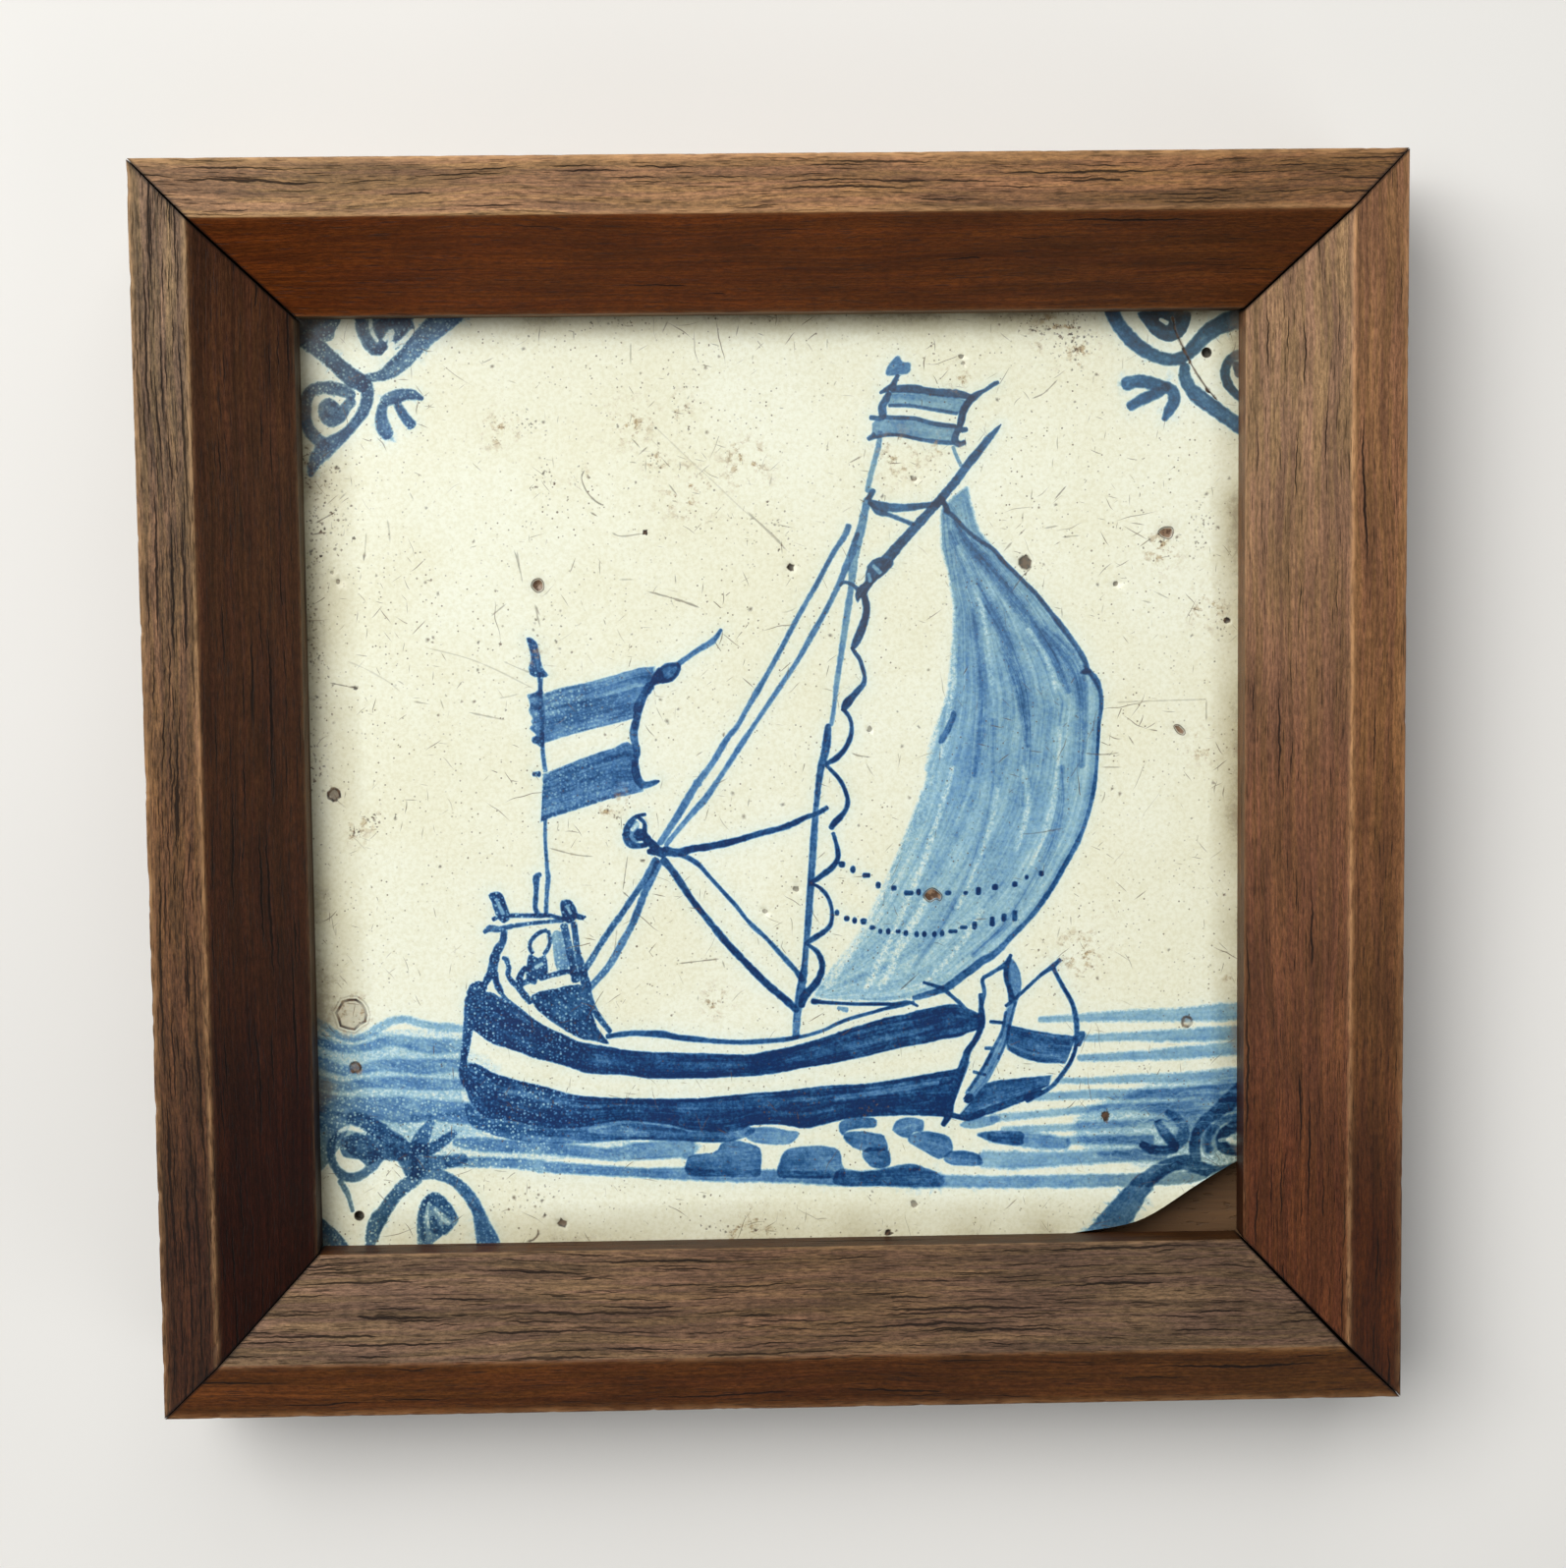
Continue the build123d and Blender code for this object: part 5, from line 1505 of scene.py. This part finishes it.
def wood_material(name, sheen):
    """Open-pored hardwood along the rail, in each face's tint, which holds painted light and shade besides
    the wood's colour.
    """
    g = Graph(name)
    grain = g.vector("grain")
    worn, open_pores, seam = [g.value(name) for name in ("worn", "pores", "seam")]
    shaded_tint = g.vector("shaded_tint")
    sway = g.math("MULTIPLY_ADD", g.noise(g.stretched(grain, (0.02, 0.05, 0.0)), 1.0, 2.0, 0.5), 4.0, -2.0)
    sideways = g.node("CombineXYZ", {1: sway}).outputs[0]
    bent = g.node("VectorMath", {0: grain, 1: sideways}, operation="ADD").outputs[0]
    parts = g.node("SeparateXYZ", {0: bent}).outputs

    # Bands of darker and lighter wood, the fibre, and the fine grit of its surface.
    figure = g.noise(g.stretched(bent, (0.010, 0.45, 1.0)), 1.0, 3.0, 0.55)
    fibre = g.noise(g.stretched(bent, (0.05, 1.7, 1.0)), 1.0, 4.0, 0.8)
    grit = g.noise(g.stretched(bent, (0.8, 3.2, 1.0)), 1.0, 3.0, 0.8)
    cloud = g.noise(g.stretched(bent, (0.07, 0.22, 1.0)), 1.0, 3.0, 0.6)
    light = g.math("MULTIPLY", g.remap(figure, 0.35, 0.65, 0.84, 1.16),
                   g.remap(fibre, 0.35, 0.65, 0.68, 1.34))
    light = g.math("MULTIPLY", light, g.remap(grit, 0.35, 0.65, 0.62, 1.4))
    light = g.math("MULTIPLY", light, g.remap(cloud, 0.35, 0.65, 0.82, 1.2))
    light = g.math("MULTIPLY_ADD", g.math("SUBTRACT", light, 1.0),
                   g.math("MULTIPLY_ADD", open_pores, 0.4, 0.76), 1.0)
    light = g.math("MAXIMUM", light, 0.3)
    # Each face's tint holds painted light and shade as well as the wood's colour.
    colour = g.node("VectorMath", {0: shaded_tint, 3: light}, operation="SCALE").outputs[0]
    golden = g.remap(g.noise(g.stretched(bent, (0.05, 0.8, 1.0)), 1.0, 2.0, 0.6), 0.38, 0.62)
    colour = g.mix(1.0, colour, g.mix(golden, rgb(252, 242, 242), rgb(255, 252, 232)), "MULTIPLY")

    # Fissures: long thin dark pores, close together where the face is weathered, and short ones everywhere.
    crowd = g.remap(g.noise(g.stretched(bent, (0.03, 0.3, 1.0)), 1.0, 2.0, 0.5), 0.36, 0.6, 0.25, 1.0)
    likely = g.math("MULTIPLY", g.math("MULTIPLY", open_pores, crowd), 0.85)
    wander = g.noise(g.stretched(grain, (0.35, 0.3, 1.0)), 1.0, 2.0, 0.6)
    lane_place = g.math("ADD", parts[1], g.math("MULTIPLY_ADD", wander, 0.9, -0.45))
    pores = fissure_lines(g, parts[0], lane_place, 26.0, 1.25, likely, 0.17, 1.0)
    pores = g.math("MAXIMUM", pores, fissure_lines(g, parts[0], lane_place, 11.0, 0.7, likely, 0.1, 2.0))
    few = g.math("MULTIPLY_ADD", open_pores, 0.3, 0.12)
    pores = g.math("MAXIMUM", pores, g.math(
        "MULTIPLY", fissure_lines(g, parts[0], parts[1], 3.4, 0.34, few, 0.07, 3.0), 0.7))
    colour = g.mix(g.math("MULTIPLY", pores, 0.86), colour, rgb(18, 10, 7))
    patchy = g.remap(g.noise(g.stretched(grain, (0.35, 1.6, 1.0)), 1.0, 3.0, 0.65), 0.34, 0.58, 0.25, 1.0)
    rub = g.math("MULTIPLY", worn, patchy, clamp=True)
    bare = g.mix(0.4, g.stretched(shaded_tint, (2.6, 2.5, 2.2)), rgb(222, 176, 124))
    colour = g.mix(g.math("MULTIPLY", rub, 0.85), colour, bare)
    colour = g.mix(g.math("MULTIPLY", seam, 0.85), colour, rgb(10, 6, 5))
    g.put(g.shader.inputs["Base Color"], colour)
    rough = g.math("MULTIPLY_ADD", grit, 0.22, sheen)
    g.put(g.shader.inputs["Roughness"], g.math("MULTIPLY_ADD", pores, 0.3, rough, clamp=True))
    g.shader.inputs["Specular IOR Level"].default_value = 0.22
    height = g.math("ADD", g.math("ADD", g.math("MULTIPLY", fibre, 0.5), g.math("MULTIPLY", grit, 0.4)),
                    g.math("MULTIPLY", pores, -1.0))
    g.put(g.shader.inputs["Normal"], g.bump(height, 0.8, 0.00022))
    return g.material


def rail_section():
    """The moulding's section as points (y, z), with how near each is to a front arris."""
    corners = [
        (-REBATE_HALF, FACE_Z, 0), (-SIGHT_HALF, FACE_Z, 0), (-SIGHT_HALF, SIGHT_TOP_Z, ARRIS_RADIUS),
        (-RIDGE_HALF, RIDGE_Z, ARRIS_RADIUS), (-OUTER_HALF, OUTER_TOP_Z, ARRIS_RADIUS),
        (-OUTER_HALF, 0, BACK_ARRIS_RADIUS), (-REBATE_HALF, 0, 0),
    ]
    spots = np.array([c[:2] for c in corners], float)
    line = []
    for i, (y, z, radius) in enumerate(corners):
        here, back, ahead = spots[i], spots[i - 1], spots[(i + 1) % len(spots)]
        if not radius:
            line.append([here])
            continue
        to_back = (back - here) / np.hypot(*(back - here))
        to_ahead = (ahead - here) / np.hypot(*(ahead - here))
        half = math.acos(np.clip(to_back @ to_ahead, -1, 1)) / 2
        middle = here + (to_back + to_ahead) / np.hypot(*(to_back + to_ahead)) * radius / math.sin(half)
        start, stop = here + to_back * radius / math.tan(half), here + to_ahead * radius / math.tan(half)
        a0, a1 = [math.atan2(*(p - middle)[::-1]) for p in (start, stop)]
        turn = (a1 - a0 + math.pi) % (2 * math.pi) - math.pi
        line.append([middle + radius * np.array([math.cos(a0 + turn * k / 4), math.sin(a0 + turn * k / 4)])
                     for k in range(5)])
    points = []
    for i, arc in enumerate(line):
        points += arc
        start, stop = arc[-1], line[(i + 1) % len(line)][0]
        run = np.hypot(*(stop - start))
        near = np.array([0.12, 0.35, 0.8, 1.5])
        between = np.linspace(1.5, run - 1.5, max(2, round((run - 3.0) / 1.6) + 1))[1:-1]
        shares = np.concatenate([near, between, (run - near)[::-1]]) / run
        points += [start + (stop - start) * s for s in shares]
    return np.array(points), spots[2:5]


section, arrises = rail_section()
ring_start, ring_stop = np.roll(section, 1, axis=0), np.roll(section, -1, axis=0)
section_run = ring_stop - ring_start
section_out = np.column_stack([section_run[:, 1], -section_run[:, 0]]) / np.hypot(*section_run.T)[:, None]
LENGTH_STEPS = 300      # along each rail

# How far each joint has opened on either rail: at the tile, at the ridge and at the outer corner.
JOINTS = {
    "bottom_left": (0.02, 0.01, 0.0), "bottom_right": (0.12, 0.19, 0.02),
    "top_right": (0.10, 0.07, 0.0), "top_left": (0.13, 0.11, 0.04),
}
# For each rail: its joints at its two ends; the colours of its outer bevel from end to end and how open its
# pores are; the same of its inner bevel; and how pale its sight edge, ridge and outer edge are rubbed.
# The bevel colours hold painted light and shade as well as the wood's own tones: faces turned from the
# light are darker, lit faces paler and greyer for a painted sheen.
RAILS = {
    "bottom": (
        ("bottom_left", "bottom_right"), ((85, 48, 18), (75, 41, 16), (76, 46, 20)), 0.15,
        ((109, 87, 69), (101, 77, 57), (90, 71, 56)), 0.6, (0.6, 0.4, 0.9),
    ),
    "right": (
        ("bottom_right", "top_right"), ((63, 30, 9), (120, 83, 54), (134, 98, 70)), 0.12,
        ((84, 47, 27), (108, 73, 51), (139, 111, 86)), 0.16, (0.4, 1.0, 0.7),
    ),
    "top": (
        ("top_right", "top_left"), ((108, 77, 48), (137, 102, 71), (131, 102, 73)), 0.55,
        ((88, 47, 16), (93, 46, 9), (97, 47, 10)), 0.05, (0.4, 0.7, 1.0),
    ),
    "left": (
        ("top_left", "bottom_left"), ((108, 88, 68), (99, 70, 45), (55, 30, 16)), 1.0,
        ((75, 46, 28), (67, 38, 21), (42, 15, 6)), 0.4, (0.4, 1.0, 1.0),
    ),
}


def rail_mesh(name, turn):
    """One rail with rubbed and nicked arrises, from its section."""
    own = np.random.default_rng(40 + turn)
    joints, outer_shaded_tint, outer_pores, inner_shaded_tint, inner_pores, rubbed = RAILS[name]
    count = len(section)
    share = np.linspace(-1, 1, LENGTH_STEPS + 1)
    ends = -section[:, 0] - MITRE_SET_BACK
    low, high = [np.interp(-section[:, 0], (SIGHT_HALF, RIDGE_HALF, OUTER_HALF), JOINTS[j]) for j in joints]
    x = np.where(share[:, None] < 0, share[:, None] * (ends - low), share[:, None] * (ends - high))
    y = np.broadcast_to(section[:, 0], x.shape).copy()
    z = np.broadcast_to(section[:, 1], x.shape).copy()
    worn = np.zeros(x.shape)
    gap = np.hypot(section[:, None, 0] - arrises[None, :, 0], section[:, None, 1] - arrises[None, :, 1])
    push = np.zeros(x.shape)
    # For the sight edge, the ridge and the outer edge: the rub's depth, how many nicks, how deep a nick
    # may be, and how far the rubbed colour reaches.
    for k, (depth, count_nicks, deepest, rub_width) in enumerate((
        (0.03, 4, 0.12, 0.32), (0.05, 9, 0.22, 0.42), (0.06, 22, 0.3, 0.72),
    )):
        along = np.column_stack([x[:, np.argmin(gap[:, k])], np.full(len(share), 7.7 * k)])
        rough = 1.0 if name == "left" else 0.35
        rub = 0.5 + 0.4 * soft_noise(along, 6.0, 90 + 10 * turn + k)
        rub += 0.35 * soft_noise(along, 1.7, 190 + 10 * turn + k)
        nicks = np.zeros(len(share))
        for _ in range(count_nicks):
            spot, wide, deep = own.uniform(-78, 78), own.uniform(0.4, 1.5), own.uniform(0.08, deepest)
            nicks = np.maximum(nicks, rough * deep * np.exp(-((along[:, 0] - spot) / wide) ** 2 * 2))
        near = np.exp(-(gap[:, k] / 0.55) ** 2)
        rubbed_off = rough * depth * np.clip(rub, 0, 1.3)[:, None] * near
        push += np.clip(rubbed_off + nicks[:, None] * near, 0, 0.5)
        reach = np.exp(-((gap[:, k] / rub_width) ** 2))
        worn = np.maximum(worn, rubbed[k] * reach * np.clip(0.4 + 0.6 * rub + nicks * 2, 0, 1)[:, None])
    y -= push * section_out[:, 0]
    z -= push * section_out[:, 1]

    # The colour of each face of the moulding, painted light and shade included, and its pores.
    shaded_tints = np.empty((LENGTH_STEPS + 1, count, 3))
    pores = np.empty(count)
    for j, (py, pz) in enumerate(section):
        on_outer = -py > RIDGE_HALF - 0.1 and pz > OUTER_TOP_Z - 0.35
        on_inner = not on_outer and -py < RIDGE_HALF and pz > SIGHT_TOP_Z - 0.15
        colour = outer_shaded_tint if on_outer else inner_shaded_tint if on_inner else 0.9 * np.array(outer_shaded_tint)
        stops = np.array([rgb(*c)[:3] for c in colour])
        for channel in range(3):
            shaded_tints[:, j, channel] = np.interp(share, (-0.75, 0.0, 0.75), stops[:, channel])
        pores[j] = outer_pores if on_outer else inner_pores if on_inner else 0.5 * outer_pores + 0.1
    places = np.stack([x, y, z], 2).reshape(-1, 3)
    shape = bmesh.new()
    verts = [shape.verts.new(p * MM) for p in places]
    layer = shape.loops.layers.uv.new("OFBake")
    edge_length = np.hypot(*(np.roll(section, -1, axis=0) - section).T)
    before = np.concatenate([[0], np.cumsum(edge_length)]) / edge_length.sum()
    for i in range(LENGTH_STEPS):
        for j in range(count):
            k = (j + 1) % count
            quad = [i * count + j, i * count + k, (i + 1) * count + k, (i + 1) * count + j]
            face = shape.faces.new([verts[q] for q in quad])
            face.smooth = True
            corner = [(places[quad[0], 0], before[j]), (places[quad[1], 0], before[j + 1]),
                      (places[quad[2], 0], before[j + 1]), (places[quad[3], 0], before[j])]
            for loop, (along, up) in zip(face.loops, corner):
                loop[layer].uv = (0.5 + along / 161.0, 0.003 + 0.93 * up)
    for end, first in ((0, 0), (1, LENGTH_STEPS * count)):
        ring = [verts[first + j] for j in range(count)]
        face = shape.faces.new(ring if end == 1 else ring[::-1])
        for loop in face.loops:
            loop[layer].uv = (0.1 + 0.5 * end + (-loop.vert.co.y / MM - 60) / 20 * 0.1,
                              0.94 + loop.vert.co.z / MM / 28 * 0.055)
    bmesh.ops.recalc_face_normals(shape, faces=shape.faces)
    mesh = bpy.data.meshes.new("rail_" + name)
    shape.to_mesh(mesh)
    shape.free()
    give_values(mesh, "worn", worn.ravel())
    give_values(mesh, "pores", np.tile(pores, LENGTH_STEPS + 1))
    give_values(mesh, "shaded_tint", shaded_tints.reshape(-1, 3))
    round_section = np.broadcast_to(before[:count] * edge_length.sum(), x.shape)
    grain = np.stack([x + 200.0 * turn, round_section + 97.0 * turn, 0.0 * x], 2)
    give_values(mesh, "grain", grain.reshape(-1, 3))
    to_joint = np.minimum(x - x[0], x[-1] - x)
    give_values(mesh, "seam", np.clip(1 - to_joint / 0.2, 0, 1).ravel())
    angle = math.radians(90 * turn)
    spin = np.array([[math.cos(angle), math.sin(angle)], [-math.sin(angle), math.cos(angle)]])
    turned = places.copy()
    turned[:, :2] = places[:, :2] @ spin
    mesh.vertices.foreach_set("co", (turned * MM).astype(np.float32).ravel())
    mesh.update()
    mesh.set_sharp_from_angle(angle=math.radians(9))
    return mesh


def carry_values_over_hole(plain, holed):
    """Gives the hole's vertices the values of the back's nearest vertex, and lets the grain run on."""
    old_spots, spots = [read_values(mesh.vertices, "co", 3) / MM for mesh in (plain, holed)]
    from_axis, new_from_axis = [np.hypot(s[:, 0], s[:, 1] - HOLE_Y) for s in (old_spots, spots)]
    back = np.flatnonzero((old_spots[:, 2] < 0.01) & (from_axis < 8.0))
    in_hole = (new_from_axis < HOLE_RADIUS + HOLE_CHAMFER + 0.3) & (spots[:, 2] < HOLE_DEPTH + 0.1)
    inside = np.flatnonzero(in_hole)
    offset = spots[inside, None, :2] - old_spots[None, back, :2]
    nearest = (offset ** 2).sum(2).argmin(1)
    shift = -offset[np.arange(len(inside)), nearest]
    for name, kind, width in (("worn", "value", 1), ("pores", "value", 1), ("seam", "value", 1),
                              ("shaded_tint", "vector", 3), ("grain", "vector", 3)):
        old_values = read_values(plain.attributes[name].data, kind, width)
        values = read_values(holed.attributes[name].data, kind, width)
        values[inside] = old_values[back[nearest]]
        if name == "grain":
            values[inside, :2] += shift
        holed.attributes[name].data.foreach_set(kind, values.ravel())


def cut_hanging_hole(rail):
    """Cuts the blind hole and its chamfer from the back of the top rail."""
    shape = bmesh.new()
    sides = 32
    below = 0.1
    loops = []
    mouth = HOLE_RADIUS + HOLE_CHAMFER
    for radius, level in ((mouth + below, -below), (HOLE_RADIUS, HOLE_CHAMFER), (HOLE_RADIUS, HOLE_DEPTH)):
        loops.append([
            shape.verts.new((radius * math.cos(a) * MM, (HOLE_Y + radius * math.sin(a)) * MM, level * MM))
            for a in np.arange(sides) / sides * 2 * math.pi])
    for low, high in zip(loops[:-1], loops[1:]):
        for i in range(sides):
            k = (i + 1) % sides
            shape.faces.new((low[i], low[k], high[k], high[i]))
    shape.faces.new(loops[0][::-1])
    shape.faces.new(loops[-1])
    bmesh.ops.recalc_face_normals(shape, faces=shape.faces)
    mesh = bpy.data.meshes.new("hole")
    shape.to_mesh(mesh)
    shape.free()
    cutter = own_object("hole_cutter", mesh)
    change = rail.modifiers.new("hole", "BOOLEAN")
    change.operation = "DIFFERENCE"
    change.solver = "EXACT"
    change.object = cutter
    bpy.context.view_layer.update()
    graph = bpy.context.evaluated_depsgraph_get()
    holed = bpy.data.meshes.new_from_object(
        rail.evaluated_get(graph), preserve_all_data_layers=True, depsgraph=graph)
    rail.modifiers.clear()
    carry_values_over_hole(rail.data, holed)
    rail.data = holed
    bpy.data.objects.remove(cutter)


wood_look = wood_material("hardwood", 0.4)
for turn, name in enumerate(RAILS):
    rail = own_object("wooden_rail_" + name, rail_mesh(name, turn))
    rail.data.materials.append(wood_look)
    if name == "top":
        cut_hanging_hole(rail)
    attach(rail, "root")
    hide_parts("rail_" + name)


# The board and the steel points.

def board_material():
    g = Graph("stained_board")
    place = g.node("TexCoord").outputs["Object"]
    fibres = g.noise(g.stretched(place, (60.0, 900.0, 900.0)), 1.0, 4.0, 0.65)
    cloud = g.noise(place, 70.0, 3.0, 0.6)
    colour = g.mix(g.remap(fibres, 0.3, 0.7), rgb(94, 66, 37), rgb(110, 78, 46))
    colour = g.mix(g.remap(cloud, 0.4, 0.7), colour, rgb(88, 66, 36))
    flecks = g.remap(g.noise(g.stretched(place, (500.0, 1500.0, 1500.0)), 1.0, 2.0, 0.5), 0.62, 0.7)
    colour = g.mix(g.math("MULTIPLY", flecks, 0.3), colour, rgb(48, 34, 21))
    g.put(g.shader.inputs["Base Color"], colour)
    g.put(g.shader.inputs["Roughness"], g.remap(fibres, 0.2, 0.8, 0.6, 0.8))
    g.put(g.shader.inputs["Normal"], g.bump(g.math("SUBTRACT", fibres, flecks), 0.5, 0.0002))
    return g.material


def steel_material():
    g = Graph("dull_steel")
    place = g.node("TexCoord").outputs["Object"]
    lines = g.noise(g.stretched(place, (900.0, 900.0, 300.0)), 1.0, 3.0, 0.6)
    rust = g.remap(g.noise(place, 420.0, 4.0, 0.65), 0.52, 0.64)
    metal = g.mix(g.remap(lines, 0.3, 0.7), rgb(150, 148, 144), rgb(188, 186, 182))
    g.put(g.shader.inputs["Base Color"], g.mix(g.math("MULTIPLY", rust, 0.8), metal, rgb(104, 62, 36)))
    g.put(g.shader.inputs["Metallic"], g.remap(rust, 0.0, 1.0, 1.0, 0.1))
    rough = g.remap(lines, 0.2, 0.8, 0.3, 0.45)
    g.put(g.shader.inputs["Roughness"], g.math("MULTIPLY_ADD", rust, 0.4, rough))
    g.put(g.shader.inputs["Normal"], g.bump(g.math("ADD", lines, rust), 0.3, 0.00005))
    return g.material


board_look, steel_look = board_material(), steel_material()
for name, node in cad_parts.items():
    if name == "backing_board" or name.startswith("fixing_point"):
        look = board_look if name == "backing_board" else steel_look
        node.data.materials.clear()
        node.data.materials.append(look)


# Floor, light and camera.

def floor_material():
    g = Graph("pale_floor")
    place = g.node("TexCoord").outputs["Object"]
    g.put(g.shader.inputs["Base Color"],
          g.mix(g.remap(g.noise(place, 6.0, 3.0, 0.5), 0.3, 0.7), rgb(226, 224, 220), rgb(232, 230, 226)))
    g.shader.inputs["Roughness"].default_value = 0.8
    return g.material


floor_mesh = bpy.data.meshes.new("floor")
floor_mesh.from_pydata([(-3, -3, 0), (3, -3, 0), (3, 3, 0), (-3, 3, 0)], [], [(0, 1, 2, 3)])
floor = own_object("floor", floor_mesh)
floor.location.z = -0.0001
floor.data.materials.append(floor_material())


def area_light(name, spot, size, watts, colour):
    light = bpy.data.lights.new(name, "AREA")
    light.shape = "SQUARE"
    light.size = size
    light.energy = watts
    light.color = colour
    made = own_object(name, light)
    made.location = spot
    made.rotation_euler = (-Vector(spot)).to_track_quat("-Z", "Y").to_euler()


area_light("key", (-0.56, 0.44, 1.16), 0.9, 18.6, (1.0, 0.995, 0.98))
area_light("upper", (0.1, 1.0, 1.0), 0.9, 4.5, (1.0, 0.995, 0.985))
area_light("fill", (1.1, -0.9, 1.0), 1.0, 3.2, (0.96, 0.98, 1.0))

scene = bpy.context.scene
scene.view_settings.view_transform = "Standard"
world = bpy.data.worlds.new("studio")
world.use_nodes = True
background = world.node_tree.nodes["Background"].inputs
background["Color"].default_value = (0.9, 0.92, 0.95, 1.0)
background["Strength"].default_value = 0.13
scene.world = world

lens = bpy.data.cameras.new("camera")
lens.sensor_width = SENSOR
lens.lens = FOCAL_PIXELS * SENSOR / PHOTO_HEIGHT
camera = own_object("camera", lens)
camera.location = CAMERA_SPOT
camera.rotation_euler = [math.radians(a) for a in CAMERA_TILT]
scene.camera = camera
